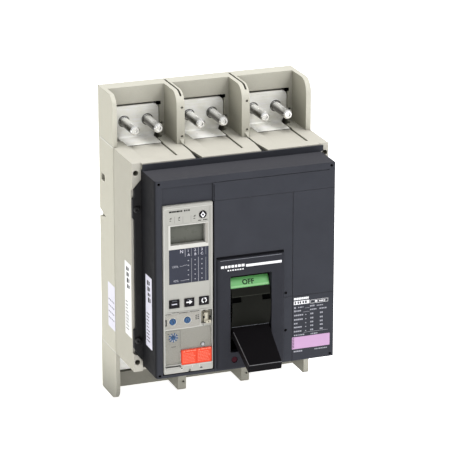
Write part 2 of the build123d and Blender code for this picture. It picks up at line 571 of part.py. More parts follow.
def flexible_braid(pole):
    """Laminated copper strip from the bottom bar to the heel of the moving contact."""
    half_width, half_thick = 17.0, 2.0
    line = [(-15.9, -50.2), (-20.5, -49.4), (-25, -48), (-29.5, -45.8), (-33.5, -42.6), (-36.4, -38.4),
            (-37.9, -33.6), (-37.9, -29), (-36.8, -24.8)]
    outer, inner = [], []
    for i, (y, z) in enumerate(line):
        before, after = line[max(i - 1, 0)], line[min(i + 1, len(line) - 1)]
        length = hypot(after[0] - before[0], after[1] - before[1])
        normal_y, normal_z = (before[1] - after[1]) / length, (after[0] - before[0]) / length
        outer.append((y + half_thick * normal_y, z + half_thick * normal_z))
        inner.append((y - half_thick * normal_y, z - half_thick * normal_z))
    return side_prism(outer + inner[::-1], pole - half_width, pole + half_width)


def arc_chute(pole):
    """Steel splitter plates between two insulating cheeks."""
    cheeks = [block(pole + s * 23 - 1.2, pole + s * 23 + 1.2, -93, -36, 60, 99.6) for s in (-1, 1)]
    plates = []
    for i in range(8):
        z = 61.6 + 5.2 * i
        plate = block(pole - 22.5, pole + 22.5, -92, -38, z, z + 1.6)
        throat = Polyline((pole - 9, -37, z - 1), (pole, -60, z - 1), (pole + 9, -37, z - 1), close=True)
        plates.append(plate - extrude(make_face(throat), amount=4, dir=(0, 0, 1)))
    return cheeks[0] + [cheeks[1]] + plates


def current_transformer(pole):
    """Ring core in its housing round the bottom conductor."""
    housing = block(pole - 26.8, pole + 26.8, -44, -6.2, -95, -62)
    housing = rounded(housing, Axis.Z, 4.0)
    opening = block(pole - 22.4, pole + 22.4, -15.4, -6.6, -96, -61)
    terminal_block = block(pole - 9, pole + 9, -50, -43, -86, -70)
    return (housing - opening) + terminal_block


# ---------------------------------------------------------------- electronic trip unit
KEY_Z = (-30.0, -21.5)
KEYS = {"key_left": (-81.5, -71.0), "key_middle": (-65.5, -55.5), "key_right": (-50.0, -40.0)}
DIALS = {"dial_left": (-77.5, -45.0, 3.3), "dial_right": (-62.0, -45.0, 3.3),
         "dial_lower": (-77.0, -62.0, 2.4)}
TEST_BUTTON = (-46.0, 64.5, 3.7)
LCD = (-80.0, -43.5, 35.6, 55.4)
BARGRAPH = (-81.5, -40.0, -5.0, 31.0)
PLUG = (-69.0, -37.2, -91.4, -76.0)
SOCKET = (-47.4, -37.2, -50.4, -37.0)
SETTINGS_TOP = -35.8


def trip_unit_housing():
    front, wall = UNIT_FRONT, 2.4
    outer = block(UNIT_X0, UNIT_X1, front, -106.5, UNIT_Z0, UNIT_Z1)
    outer = rounded(outer, Axis.Z, 1.6, lambda c: c.Y < front + 1)
    outer = rounded(outer, Axis.X, 1.2, lambda c: c.Y < front + 1)
    inner = block(UNIT_X0 + wall, UNIT_X1 - wall, front + 5.4, -106, UNIT_Z0 + wall, UNIT_Z1 - wall)
    # shallow field inside the raised edge, and the lower field under the settings cover
    upper = block(UNIT_X0 + 3, UNIT_X1 - 3, front - 1, front + 0.6, -34.6, UNIT_Z1 - 3)
    lower = block(UNIT_X0 + 1.2, UNIT_X1 - 1.2, front - 1, front + 2.4, -91.6, SETTINGS_TOP)
    body = outer - [inner, upper, lower]
    cuts = []
    x0, x1, z0, z1 = LCD
    cuts.append(block(x0, x1, front - 2, front + 6, z0, z1))
    x0, x1, z0, z1 = BARGRAPH
    cuts.append(block(x0 - 0.1, x1 + 0.1, front - 2, front + 2.2, z0 - 0.1, z1 + 0.1))
    for x0, x1 in KEYS.values():
        cuts.append(block(x0 - GAP, x1 + GAP, front - 2, front + 6, KEY_Z[0] - GAP, KEY_Z[1] + GAP))
    x, z, r = TEST_BUTTON
    cuts.append(rod_y(r + GAP, x, z, front - 2, front + 6))
    for x, z, r in DIALS.values():
        cuts.append(rod_y(r + GAP, x, z, front - 2, front + 6))
    x0, x1, z0, z1 = PLUG
    cuts.append(block(x0 - 0.2, x1 + 0.2, front - 2, front + 9, z0 - 0.15, z1 + 0.2))
    cuts.append(rod_y(1.0, -46.0, -72.4, front - 2, front + 6))
    x0, x1, z0, z1 = SOCKET
    cuts.append(block(x0, x1, front - 2, front + 10, z0, z1))
    cuts.append(block(-61.8, -59.2, front - 1, front + 3, UNIT_Z0 - 1, -96.5))
    cuts.append(block(HINGE_X0 - 0.2, HINGE_X1 + 0.3, front - 1, front + 4.4, HINGE_Z - 2.8, HINGE_Z + 2))
    body = body - cuts
    pin = rod_x(0.55, HINGE_Y, HINGE_Z, UNIT_X0 + 0.6, HINGE_X1 + 0.8)
    lug = block(HINGE_X1 + 0.3, HINGE_X1 + 1.0, front + 0.4, front + 5, HINGE_Z - 1.6, HINGE_Z + 1.6)
    return body + [pin, lug]


HINGE_X0, HINGE_X1 = -86.0, -70.2        # the hinge sits beside the rating plug
COVER_X1 = -37.0


def settings_cover():
    """Clear flap over the dials, hinged along its lower edge, cut out round the test socket."""
    front = UNIT_FRONT + 0.1
    plate = block(HINGE_X0, COVER_X1, front, front + 1.1, HINGE_Z + 0.2, SETTINGS_TOP - 0.4)
    cuts = [block(SOCKET[0] - 1.2, COVER_X1 + 1, front - 1, front + 3, SOCKET[2] - 1.6, SETTINGS_TOP + 1),
            block(HINGE_X1, COVER_X1 + 1, front - 1, front + 3, HINGE_Z - 1, PLUG[3] + 0.8),
            block(-64.0, -60.0, front - 1, front + 0.5, SETTINGS_TOP - 1.8, SETTINGS_TOP)]
    ears = [rod_x(1.3, HINGE_Y, HINGE_Z, x, x + 2.4) for x in (HINGE_X0, HINGE_X1 - 2.4)]
    return (plate + ears) - (cuts + [rod_x(0.64, HINGE_Y, HINGE_Z, HINGE_X0 - 1, HINGE_X1 + 1)])


def key(x0, x1):
    z0, z1 = KEY_Z
    cap = block(x0, x1, UNIT_FRONT - 0.7, UNIT_FRONT + 4.2, z0, z1)
    edges = [e for e in cap.edges() if e.center().Y < UNIT_FRONT]
    return fillet(edges, 0.5)


def test_button():
    x, z, r = TEST_BUTTON
    cap = rod_y(r, x, z, UNIT_FRONT - 0.7, UNIT_FRONT + 4.2)
    return fillet(cap.edges().filter_by(GeomType.CIRCLE).sort_by(Axis.Y)[0], 0.6)


def dial(x, z, r):
    """Rotary switch with a screwdriver arrow slot."""
    cap = rod_y(r, x, z, UNIT_FRONT + 1.6, UNIT_FRONT + 9.0)
    cap = chamfer(cap.edges().filter_by(GeomType.CIRCLE).sort_by(Axis.Y)[0], 0.4)
    slot = block(x - 0.45, x + 0.45, UNIT_FRONT + 1, UNIT_FRONT + 2.6, z - r * 0.75, z + r * 0.75)
    head = front_prism([(x - r * 0.45, z + r * 0.25), (x, z + r * 0.8), (x + r * 0.45, z + r * 0.25)],
                       UNIT_FRONT + 1, UNIT_FRONT + 2.2)
    return cap - [slot, head]


def lcd_module():
    x0, x1, z0, z1 = LCD
    return block(x0 - 1.2, x1 + 1.2, UNIT_FRONT + 5.5, UNIT_FRONT + 8.5, z0 - 1.2, z1 + 1.2)


def bargraph_panel():
    x0, x1, z0, z1 = BARGRAPH
    return block(x0, x1, UNIT_FRONT + 0.7, UNIT_FRONT + 2.1, z0, z1)


def trip_unit_board():
    board = block(UNIT_X0 + 3, UNIT_X1 - 3, -136.8, -135.2, UNIT_Z0 + 4, UNIT_Z1 - 4)
    parts = [block(-80, -62, -135.2, -131, 8, 26), block(-58, -44, -135.2, -125, -20, 20),
             block(-80, -50, -135.2, -127, -60, -40), block(-76, -66, -135.2, -118, -84, -68),
             block(-58, -42, -135.2, -129, 36, 60)]
    return board + parts


def rating_plug():
    x0, x1, z0, z1 = PLUG
    body = block(x0, x1, UNIT_FRONT + 0.2, UNIT_FRONT + 8.5, z0, z1)
    body = rounded(body, Axis.Y, 0.6)
    groove = block(-53.3, -52.9, UNIT_FRONT - 1, UNIT_FRONT + 0.7, z0 - 1, z1 + 1)
    return body - groove


def rating_plug_screw():
    shank = rod_y(0.9, -46.0, -72.4, UNIT_FRONT + 2.3, UNIT_FRONT + 8.5)
    head = rod_y(1.7, -46.0, -72.4, UNIT_FRONT + 1.3, UNIT_FRONT + 2.39)
    slot = block(-47.8, -44.2, UNIT_FRONT + 1, UNIT_FRONT + 1.8, -72.6, -72.2)
    return (head + shank) - slot


def test_connector():
    """Socket with two contact rows and a sealing lug at its lower edge."""
    x0, x1, z0, z1 = SOCKET
    front = UNIT_FRONT
    shell = block(x0 + 0.1, x1 - 0.1, front + 5.5, front + 9.5, z0 + 0.1, z1 - 0.1)
    tongue = block(x0 + 3.2, x0 + 6.8, front + 1.6, front + 5.6, z0 + 1.2, z1 - 2.6)
    lug = block(x1 - 5.6, x1 - 0.4, front + 0.3, front + 5.6, z0 + 0.15, z0 + 3.0)
    return shell + [tongue, lug - rod_y(0.8, x1 - 3.0, z0 + 1.6, front - 1, front + 4)]


# ---------------------------------------------------------------- tripping parts
def trip_button():
    cap = rod_y(3.1, -13.0, -92.8, COVER_FRONT - 2.2, COVER_FRONT + 5.6)
    cap = fillet(cap.edges().filter_by(GeomType.CIRCLE).sort_by(Axis.Y)[0], 0.5)
    collar = rod_y(4.4, -13.0, -92.8, COVER_FRONT + 6.2, COVER_FRONT + 7.8)
    stem = rod_y(1.8, -13.0, -92.8, COVER_FRONT + 5.5, -127.3)
    return cap + [collar, stem]


def trip_bar():
    bar = rod_x(2.5, -125, -75, -31.5, -19.5)
    lever = block(-23.4, -19.5, -126.6, -123.4, -95.2, -75)
    foot = block(-23.4, -10.5, -126.9, -123.4, -95.2, -90.4)
    upper = block(-23.4, -19.5, -134.5, -123.4, -74.5, -71.4)
    return bar + [lever, foot, upper]


def trip_actuator():
    body = block(-31.5, -18.6, -139.5, -118, -52, -18)
    coil = rounded(body, Axis.Z, 2.5)
    feet = [block(-31.5, -18.6, -118.5, CASE_FRONT, z0, z0 + 8) for z0 in (-50, -28)]
    return (coil + feet) - rod_z(2.7, PLUNGER_X, PLUNGER_Y, -53, -30)


PLUNGER_X, PLUNGER_Y = -22.4, -131.0


def actuator_plunger():
    rod = rod_z(2.4, PLUNGER_X, PLUNGER_Y, -66.4, -31)
    return rod + rod_z(3.6, PLUNGER_X, PLUNGER_Y, -66.4, -64)


# ---------------------------------------------------------------- fasteners
def cover_screws():
    return Compound(children=[rod_y(COVER_SCREW_R, side * x, z, -140, CASE_FRONT + 3.6)
                              for side in (-1, 1) for x, z in COVER_SCREWS])


def flange_screws():
    screws = []
    for side in (-1, 1):
        for x, z in FLANGE_SCREWS:
            head = rod_y(3.5, side * x, z, FLANGE_FRONT - 2.2, FLANGE_FRONT)
            head = fillet(head.edges().filter_by(GeomType.CIRCLE).sort_by(Axis.Y)[0], 1.2)
            shank = rod_y(1.7, side * x, z, FLANGE_FRONT - 0.1, CASE_FRONT + 11)
            socket = rod_y(1.3, side * x, z, FLANGE_FRONT - 3, FLANGE_FRONT - 1.0)
            screws.append((head + shank) - socket)
    return Compound(children=screws)


def case_screws():
    front = -92.0
    screws = []
    for side in (-1, 1):
        for z in (-CASE_SCREW_Z, CASE_SCREW_Z):
            screw = rod_y(2.1, side * CASE_SCREW_X, z, front, -13)
            screws.append(screw - rod_y(1.1, side * CASE_SCREW_X, z, front - 1, front + 1.5))
    return Compound(children=screws)


# ---------------------------------------------------------------- build and save
def main():
    save("rear_base", rear_base())
    save("front_case", front_case())
    save("mid_flange", mid_flange())
    shell = cover_shell()
    save("front_cover", front_cover(shell))
    save("accessory_cover", accessory_cover(shell))
    save("handle_escutcheon", handle_escutcheon())

    handle = toggle_handle()
    save("toggle_handle", handle)
    save("handle_shutter", handle_shutter(handle))
    save("off_flag", flag(FLAG_OFF))
    save("on_flag", flag(FLAG_ON))
    save("handle_yoke", handle_yoke(handle))
    save("main_springs", main_springs())
    save("mechanism_side_plates", mechanism_side_plates())
    save("mechanism_pins", mechanism_pins())
    save("toggle_links", toggle_links())
    save("latch_links", latch_links())

    contacts = []
    for name, pole in POLES.items():
        contact = moving_contact(pole)
        contacts.append((contact, pole))
        save(f"moving_contact_{name}", contact)
        save(f"top_terminal_{name}", terminal(ENDS["top"], pole))
        save(f"bottom_terminal_{name}", terminal(ENDS["bottom"], pole))
        save(f"flexible_braid_{name}", flexible_braid(pole))
        save(f"arc_chute_{name}", arc_chute(pole))
        save(f"current_transformer_{name}", current_transformer(pole))
    save("pole_shaft", pole_shaft(contacts))
    for name, end in ENDS.items():
        save(f"{name}_terminal_bolts", terminal_bolts(end))

    save("trip_unit_housing", trip_unit_housing())
    save("trip_unit_board", trip_unit_board())
    save("lcd_module", lcd_module())
    save("bargraph_panel", bargraph_panel())
    for name, (x0, x1) in KEYS.items():
        save(name, key(x0, x1))
    save("test_button", test_button())
    for name, (x, z, r) in DIALS.items():
        save(name, dial(x, z, r))
    save("settings_cover", settings_cover())
    save("rating_plug", rating_plug())
    save("rating_plug_screw", rating_plug_screw())
    save("test_connector", test_connector())
    save("trip_button", trip_button())
    save("trip_bar", trip_bar())
    save("trip_actuator", trip_actuator())
    save("actuator_plunger", actuator_plunger())
    save("cover_screws", cover_screws())
    save("flange_screws", flange_screws())
    save("case_screws", case_screws())


main()
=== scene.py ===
import math
import random

import bmesh
import bpy
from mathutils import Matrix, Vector


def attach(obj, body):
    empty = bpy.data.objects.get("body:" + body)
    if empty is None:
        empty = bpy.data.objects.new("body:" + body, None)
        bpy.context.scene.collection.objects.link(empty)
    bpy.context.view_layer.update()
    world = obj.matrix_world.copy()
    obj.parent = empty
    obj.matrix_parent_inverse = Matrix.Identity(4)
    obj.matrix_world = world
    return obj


# Looks of a three-pole air circuit breaker. X is to the right, -Y to the front and Z up.
# Lengths are millimetres up to add_mesh, which turns them into metres. Materials and lights are in metres.
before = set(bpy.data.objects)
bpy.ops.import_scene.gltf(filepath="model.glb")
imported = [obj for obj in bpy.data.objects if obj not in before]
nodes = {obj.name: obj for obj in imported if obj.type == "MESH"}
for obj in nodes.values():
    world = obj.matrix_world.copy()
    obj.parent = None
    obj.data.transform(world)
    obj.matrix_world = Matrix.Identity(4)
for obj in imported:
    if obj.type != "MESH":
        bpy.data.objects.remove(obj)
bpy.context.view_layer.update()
MM = 0.001
CASE, HANDLE = "breaker", "handle"

# places shared by several pieces
POLES = (-70.0, 0.0, 70.0)                 # middle of each pole, across the breaker
BOLTS, BOLT_Z = (-12.5, 12.5), 126.5       # terminal bolts, from the middle of the pole and of the breaker
ENDS = (("top", 1), ("bottom", -1))
HALF_WIDTH = 105.0


# ---------------------------------------------------------------- camera
# An ordinary upright camera with no lens shift, at the viewing angle of the front view.
TURN, DROP = math.radians(20.4828), math.radians(18.6472)      # to the right of straight on, and below level
EYE = Vector((-953.35, -2647.88, 947.66)) * MM
SENSOR_WIDTH, FOCAL_LENGTH = 36.0, 224.878


def add_camera():
    """A camera at the eye, turned and dropped towards the breaker."""
    data = bpy.data.cameras.new("camera")
    data.sensor_width = SENSOR_WIDTH
    data.lens = FOCAL_LENGTH
    data.clip_start, data.clip_end = 0.05, 50.0
    camera = bpy.data.objects.new("camera", data)
    camera.location = EYE
    camera.rotation_euler = (math.pi / 2 - DROP, 0, -TURN)
    bpy.context.scene.collection.objects.link(camera)
    bpy.context.scene.camera = camera


# ---------------------------------------------------------------- materials
GRAIN_DEPTH, EDGE_RADIUS = 0.0002, 0.00045     # metres, like the three below
HOLLOW_REACH = 0.06                            # how far a hollow is shaded by the walls round it
LOWER_END = (-0.112, -0.100)                   # painted shade at the lower end of the case fades in over this height
BACK_SKIN = (-0.004, -0.001)                   # the mounting face stays unshaded from this depth on
HOLLOW_DEPTH = 0.18                            # share of its own colour left under the painted shade in the deepest hollow


def surface(name, color, rough, metallic=0.0, mottle=0.06, mottle_scale=45.0, grain=0.12, grain_scale=1800.0,
            spread=0.05, stretch=(1, 1, 1), coat=0.0, edge=0.0, stain=None, speck=0.0, specular=0.5,
            alpha=1.0, flank=None, crown=None, hollow_shade=0.0, lower_end_shade=0.0):
    """A moulded or metal surface: slow colour drift, fine grain in the bump and uneven gloss.

    Optional: stains, specks, painted highlights on the edges, painted shade in hollows (hollow_shade), deeper
    painted shade at the lower end (lower_end_shade), painted shade on the flanks, which face along X, and a
    painted highlight on the crown, which faces up.
    """
    m = bpy.data.materials.new(name)
    m.use_nodes = True
    m.diffuse_color = (*color, 1)
    nt = m.node_tree
    new, link = nt.nodes.new, nt.links.new
    bsdf = nt.nodes["Principled BSDF"]
    bsdf.inputs["Metallic"].default_value = metallic
    bsdf.inputs["Coat Weight"].default_value = coat
    bsdf.inputs["Specular IOR Level"].default_value = specular
    bsdf.inputs["Alpha"].default_value = alpha
    coords = new("ShaderNodeTexCoord")
    mapping = new("ShaderNodeMapping")
    mapping.inputs["Scale"].default_value = stretch
    link(coords.outputs["Object"], mapping.inputs["Vector"])

    def noise(scale, detail, stretched=True):
        n = new("ShaderNodeTexNoise")
        n.inputs["Scale"].default_value = scale
        n.inputs["Detail"].default_value = detail
        link(mapping.outputs["Vector"] if stretched else coords.outputs["Object"], n.inputs["Vector"])
        return n.outputs[0]

    def remap(value, low, high, to_low, to_high):
        n = new("ShaderNodeMapRange")
        link(value, n.inputs[0])
        for i, v in enumerate((low, high, to_low, to_high)):
            n.inputs[i + 1].default_value = v
        return n.outputs[0]

    def combine(operation, a, b):
        n = new("ShaderNodeMath")
        n.operation = operation
        link(a, n.inputs[0])
        link(b, n.inputs[1])
        return n.outputs[0]

    def mix(factor, a, b):
        n = new("ShaderNodeMix")
        n.data_type = "RGBA"
        link(factor, n.inputs[0])
        for socket, value in ((n.inputs[6], a), (n.inputs[7], b)):
            if isinstance(value, tuple):
                socket.default_value = (*value, 1)
            else:
                link(value, socket)
        return n.outputs[2]

    drift = noise(mottle_scale, 4.0)
    dark = tuple(max(c * (1 - mottle), 0.0) for c in color)
    light = tuple(min(c * (1 + mottle), 1.0) for c in color)
    tint = mix(remap(drift, 0.3, 0.7, 0, 1), dark, light)
    if stain:
        spots = remap(noise(mottle_scale * 0.6, 6.0, False), 0.52, 0.68, 0, 0.75)
        tint = mix(spots, tint, stain)
    if speck:
        dots = remap(noise(grain_scale * 0.4, 1.0, False), 0.62, 0.72, 0, speck)
        tint = mix(dots, tint, tuple(c * 0.55 for c in color))
    # painted shade on faces that look along X, painted highlight on faces that look up
    for axis, tone in ((0, flank), (2, crown)):
        if tone:
            facing = new("ShaderNodeNewGeometry")
            split = new("ShaderNodeSeparateXYZ")
            link(facing.outputs["True Normal"], split.inputs[0])
            share = new("ShaderNodeMath")
            share.operation = "ABSOLUTE"
            link(split.outputs[axis], share.inputs[0])
            tint = mix(remap(share.outputs[0], 0.55, 0.95, 0, 1), tint, tone)
    # painted shade in hollows, read from ambient occlusion, deeper near the lower end of the case
    if hollow_shade:
        around = new("ShaderNodeAmbientOcclusion")
        around.samples = 6
        around.inputs["Distance"].default_value = HOLLOW_REACH
        depth = remap(around.outputs["AO"], 0.2, 0.85, hollow_shade, 0)
        if lower_end_shade:
            place = new("ShaderNodeSeparateXYZ")
            link(coords.outputs["Object"], place.inputs[0])
            low = combine("MULTIPLY", remap(around.outputs["AO"], 0.45, 0.93, lower_end_shade, 0),
                          remap(place.outputs[2], *LOWER_END, 1, 0))
            depth = combine("MULTIPLY", combine("MAXIMUM", depth, low),
                            remap(place.outputs[1], *BACK_SKIN, 1, 0))
        tint = mix(depth, tint, tuple(HOLLOW_DEPTH * c ** 1.15 for c in color))
    fine = noise(grain_scale, 2.0)
    bump = new("ShaderNodeBump")
    bump.inputs["Strength"].default_value = grain
    bump.inputs["Distance"].default_value = GRAIN_DEPTH
    link(fine, bump.inputs["Height"])
    # painted highlight on rounded edges; see-through surfaces also turn less clear there
    if edge:
        soft = new("ShaderNodeBevel")
        soft.samples = 4
        soft.inputs["Radius"].default_value = EDGE_RADIUS
        link(soft.outputs["Normal"], bump.inputs["Normal"])
        plain = new("ShaderNodeNewGeometry")
        dot = new("ShaderNodeVectorMath")
        dot.operation = "DOT_PRODUCT"
        link(soft.outputs["Normal"], dot.inputs[0])
        link(plain.outputs["Normal"], dot.inputs[1])
        painted_edge_highlight = remap(dot.outputs["Value"], 0.985, 0.86, 0, 1)
        tint = mix(painted_edge_highlight, tint, tuple(min(c + edge * (0.25 + c), 1.0) for c in color))
        if alpha < 1:
            link(remap(painted_edge_highlight, 0, 1, alpha, alpha + edge), bsdf.inputs["Alpha"])
    link(tint, bsdf.inputs["Base Color"])
    link(remap(noise(mottle_scale * 2.3, 3.0), 0.3, 0.7, rough - spread, rough + spread),
         bsdf.inputs["Roughness"])
    link(bump.outputs["Normal"], bsdf.inputs["Normal"])
    return m


# lighter edges are painted highlights; darker hollows, lower ends and flanks are painted shade; lighter
# crowns are painted highlight
MAT = {
    # painted shade on the flanks, in hollows and at the lower end
    "cream": surface("cream_moulding", (0.60, 0.585, 0.505), 0.55, mottle=0.03, grain=0.16, grain_scale=1500,
                     edge=0.18, speck=0.12, specular=0.2, hollow_shade=0.6, lower_end_shade=0.75,
                     flank=(0.49, 0.475, 0.39)),
    # painted shade on the flanks and in hollows
    "cream_front": surface("cream_moulding_front", (0.565, 0.545, 0.48), 0.55, mottle=0.03, grain=0.16,
                           grain_scale=1500, edge=0.12, speck=0.12, specular=0.2, hollow_shade=0.45,
                           flank=(0.41, 0.395, 0.325)),
    # painted shade on the cover's flanks and painted highlight on its top
    "cover": surface("dark_cover", (0.043, 0.045, 0.054), 0.48, mottle=0.05, grain=0.35, grain_scale=2400,
                     edge=0.10, spread=0.04, specular=0.02, flank=(0.014, 0.014, 0.0155),
                     crown=(0.060, 0.060, 0.068)),
    "surround": surface("surround_plastic", (0.031, 0.032, 0.039), 0.48, mottle=0.05, grain=0.35,
                        grain_scale=2400, edge=0.10, spread=0.04, specular=0.03),
    # black flange, also used as painted shade in the joints between the poles
    "frame": surface("black_frame_and_painted_shade", (0.023, 0.023, 0.024), 0.55, mottle=0.08, grain=0.2, edge=0.05,
                     specular=0.1),
    "handle": surface("black_handle", (0.0058, 0.0052, 0.0060), 0.5, mottle=0.08, grain=0.12, edge=0.45,
                      specular=0.03),
    "shutter": surface("shutter_plastic", (0.0105, 0.0108, 0.0090), 0.5, mottle=0.08, grain=0.2, edge=0.03,
                       specular=0.03),
    # painted sheen where the shutter curves up towards the light
    "painted_shutter_sheen": surface("painted_shutter_sheen", (0.033, 0.035, 0.029), 0.5, mottle=0.25, mottle_scale=30,
                             grain=0.2, specular=0.05),
    # painted shade for the floors of pockets and gaps
    "painted_shade": surface("painted_recess_shade", (0.0012, 0.0012, 0.0012), 0.9, mottle=0.2, grain=0.1, specular=0.0),
    # painted highlight for the handle's edges
    "handle_edge": surface("handle_edge_highlight", (0.105, 0.105, 0.11), 0.45, mottle=0.3, grain=0.1),
    "green": surface("green_flag_print", (0.12, 0.42, 0.12), 0.45, mottle=0.05, grain=0.05),
    # painted shine on the green flag
    "green_shine": surface("green_flag_painted_shine", (0.24, 0.52, 0.22), 0.45, mottle=0.05, grain=0.05),
    # painted highlight on edges of panels and seams
    "cream_highlight": surface("cream_painted_edge_highlight", (0.74, 0.73, 0.66), 0.5, mottle=0.03, grain=0.1),
    "red_flag": surface("red_flag_print", (0.55, 0.03, 0.02), 0.4, mottle=0.05, grain=0.05),
    "unit": surface("trip_unit_plastic", (0.40, 0.395, 0.365), 0.5, mottle=0.03, grain=0.18, grain_scale=2200,
                    edge=0.22, specular=0.15),
    "unit_mid": surface("trip_unit_band", (0.33, 0.318, 0.285), 0.5, mottle=0.03, grain=0.15, specular=0.3),
    "unit_low": surface("trip_unit_field", (0.235, 0.228, 0.197), 0.5, mottle=0.03, grain=0.15, specular=0.3),
    # pale rims, also used as painted highlights on the unit's edges
    "unit_pale": surface("trip_unit_rim_and_highlight", (0.56, 0.555, 0.52), 0.5, mottle=0.03, grain=0.15),
    "lcd": surface("display_glass", (0.096, 0.099, 0.083), 0.3, mottle=0.05, mottle_scale=60, grain=0.01,
                   specular=0.2),
    "segment": surface("display_segments", (0.089, 0.092, 0.077), 0.3, mottle=0.05, grain=0.01, specular=0.2),
    "panel": surface("bargraph_membrane", (0.040, 0.043, 0.060), 0.45, mottle=0.05, grain=0.06,
                     specular=0.08),
    "key": surface("key_plastic", (0.012, 0.0105, 0.0125), 0.45, mottle=0.06, grain=0.12, edge=0.2,
                   specular=0.06),
    "blue": surface("blue_dial_plastic", (0.006, 0.066, 0.185), 0.4, mottle=0.05, grain=0.05, edge=0.35,
                    specular=0.08),
    "red": surface("red_button_plastic", (0.042, 0.006, 0.012), 0.45, mottle=0.06, grain=0.05, edge=0.1,
                   specular=0.05),
    "orange": surface("orange_label_print", (0.72, 0.068, 0.032), 0.45, mottle=0.04, grain=0.05,
                      specular=0.1),
    "orange_mark": surface("orange_label_marks", (0.84, 0.26, 0.18), 0.45, mottle=0.04, grain=0.05,
                           specular=0.1),
    "socket": surface("connector_plastic", (0.48, 0.45, 0.36), 0.5, mottle=0.05, grain=0.1, edge=0.25),
    "white": surface("white_print", (0.86, 0.86, 0.88), 0.45, mottle=0.03, grain=0.05),
    # grey print, also used as painted highlights on the keys, the surround and the shutter
    "grey_print_and_highlight": surface("grey_print_and_highlight", (0.20, 0.21, 0.24), 0.5, mottle=0.05, grain=0.05),
    "unit_mark": surface("grey_marks", (0.22, 0.215, 0.20), 0.5, mottle=0.05, grain=0.05),
    # black print, also used as painted shade round the bolts and the test connector
    "black": surface("black_print_and_painted_shade", (0.006, 0.006, 0.006), 0.5, mottle=0.05, grain=0.05, specular=0.1),
    "paper": surface("label_paper", (0.80, 0.80, 0.79), 0.45, mottle=0.02, grain=0.04),
    "paper_cool": surface("cool_label_paper", (0.66, 0.65, 0.74), 0.45, mottle=0.04, grain=0.04),
    "lilac": surface("lilac_label_paper", (0.53, 0.33, 0.53), 0.45, mottle=0.02, grain=0.04,
                     specular=0.2),
    "silver": surface("silvered_copper", (1.0, 0.99, 0.92), 0.40, metallic=0.2, mottle=0.08,
                      mottle_scale=80, grain=0.14, grain_scale=420, stretch=(1, 1, 8), spread=0.13,
                      stain=(0.90, 0.89, 0.81)),
    "zinc": surface("zinc_plated_steel", (0.62, 0.62, 0.59), 0.26, metallic=1.0, mottle=0.06,
                    mottle_scale=120, grain=0.08, grain_scale=900, spread=0.05, stain=(0.40, 0.39, 0.36)),
    # painted shade on the sides of the bolts that face along X
    "bolt": surface("bright_zinc_bolt", (1.0, 1.0, 0.97), 0.20, metallic=0.8, mottle=0.04, mottle_scale=120,
                    grain=0.015, grain_scale=900, spread=0.03, flank=(0.09, 0.085, 0.075)),
    "blued": surface("dim_print", (0.36, 0.365, 0.41), 0.5, mottle=0.05, grain=0.05, specular=0.1),
    "spring": surface("spring_wire", (0.33, 0.33, 0.34), 0.33, metallic=1.0, mottle=0.1, grain=0.1),
    "copper": surface("bare_copper", (0.70, 0.33, 0.19), 0.35, metallic=1.0, mottle=0.08, grain=0.15,
                      grain_scale=700, stain=(0.30, 0.14, 0.09)),
    "plates": surface("splitter_steel", (0.38, 0.38, 0.38), 0.42, metallic=1.0, mottle=0.1, grain=0.2),
    "resin": surface("cast_resin", (0.03, 0.03, 0.034), 0.4, mottle=0.1, grain=0.2),
    "brown": surface("glass_filled_moulding", (0.075, 0.038, 0.024), 0.45, mottle=0.12, grain=0.25,
                     speck=0.2),
    "board": surface("circuit_laminate", (0.022, 0.12, 0.05), 0.35, mottle=0.1, grain=0.1, coat=0.3),
    "black_screw": surface("black_zinc_screw", (0.012, 0.012, 0.013), 0.4, metallic=0.3, mottle=0.1,
                           grain=0.15, edge=0.3),
    "clear": surface("clear_cover_plastic", (0.80, 0.79, 0.76), 0.15, mottle=0.01, grain=0.01, spread=0.02,
                     alpha=0.02, edge=0.22, specular=0.05),
}
# material of each node of model.glb, by name
NODE_MATERIAL = {
    "rear_base": "cream", "front_case": "cream_front", "mid_flange": "frame", "front_cover": "cover",
    "accessory_cover": "cover", "handle_escutcheon": "surround", "toggle_handle": "handle",
    "handle_shutter": "shutter", "off_flag": "green", "on_flag": "red_flag", "handle_yoke": "zinc",
    "main_springs": "spring", "mechanism_side_plates": "zinc", "mechanism_pins": "zinc",
    "toggle_links": "zinc", "latch_links": "zinc", "pole_shaft": "brown", "trip_unit_housing": "unit",
    "trip_unit_board": "board", "lcd_module": "lcd", "bargraph_panel": "panel", "key_left": "key",
    "key_middle": "key", "key_right": "key", "test_button": "key", "dial_left": "blue",
    "dial_right": "blue", "dial_lower": "blue", "settings_cover": "clear", "rating_plug": "orange",
    "rating_plug_screw": "spring", "test_connector": "socket", "trip_button": "red", "trip_bar": "brown",
    "trip_actuator": "resin", "actuator_plunger": "zinc", "cover_screws": "zinc",
    "flange_screws": "black_screw", "case_screws": "zinc",
}
PREFIX_MATERIAL = {
    "moving_contact": "copper", "flexible_braid": "copper", "arc_chute": "plates",
    "current_transformer": "resin", "top_terminal_bolts": "bolt", "bottom_terminal_bolts": "bolt",
    "top_terminal": "silver", "bottom_terminal": "silver",
}


def dress_cad_nodes():
    """Gives every node of the frame its material."""
    for name, obj in nodes.items():
        key = NODE_MATERIAL.get(name)
        if key is None:
            key = next(k for prefix, k in PREFIX_MATERIAL.items() if name.startswith(prefix))
        obj.data.materials.clear()
        obj.data.materials.append(MAT[key])


# ---------------------------------------------------------------- thin printed and applied pieces
def front(y):
    """Places (right, up, out) on a face that looks to the front."""
    return lambda u, v, t: (u, y - t, v)


def side_face(x, way):
    """Places (towards the front, up, out) on a side face: way is -1 on the left and 1 on the right."""
    return lambda u, v, t: (x + way * t, -u, v)


def end_face(sign, level):
    """Places (right, depth, out) on a face at the top (sign 1) or the bottom (-1) of the case."""
    return lambda u, v, t: (u, v, sign * (level + t))


def back(u, v, t):
    """Places (left, up, out) on the mounting face."""
    return -u, t, v


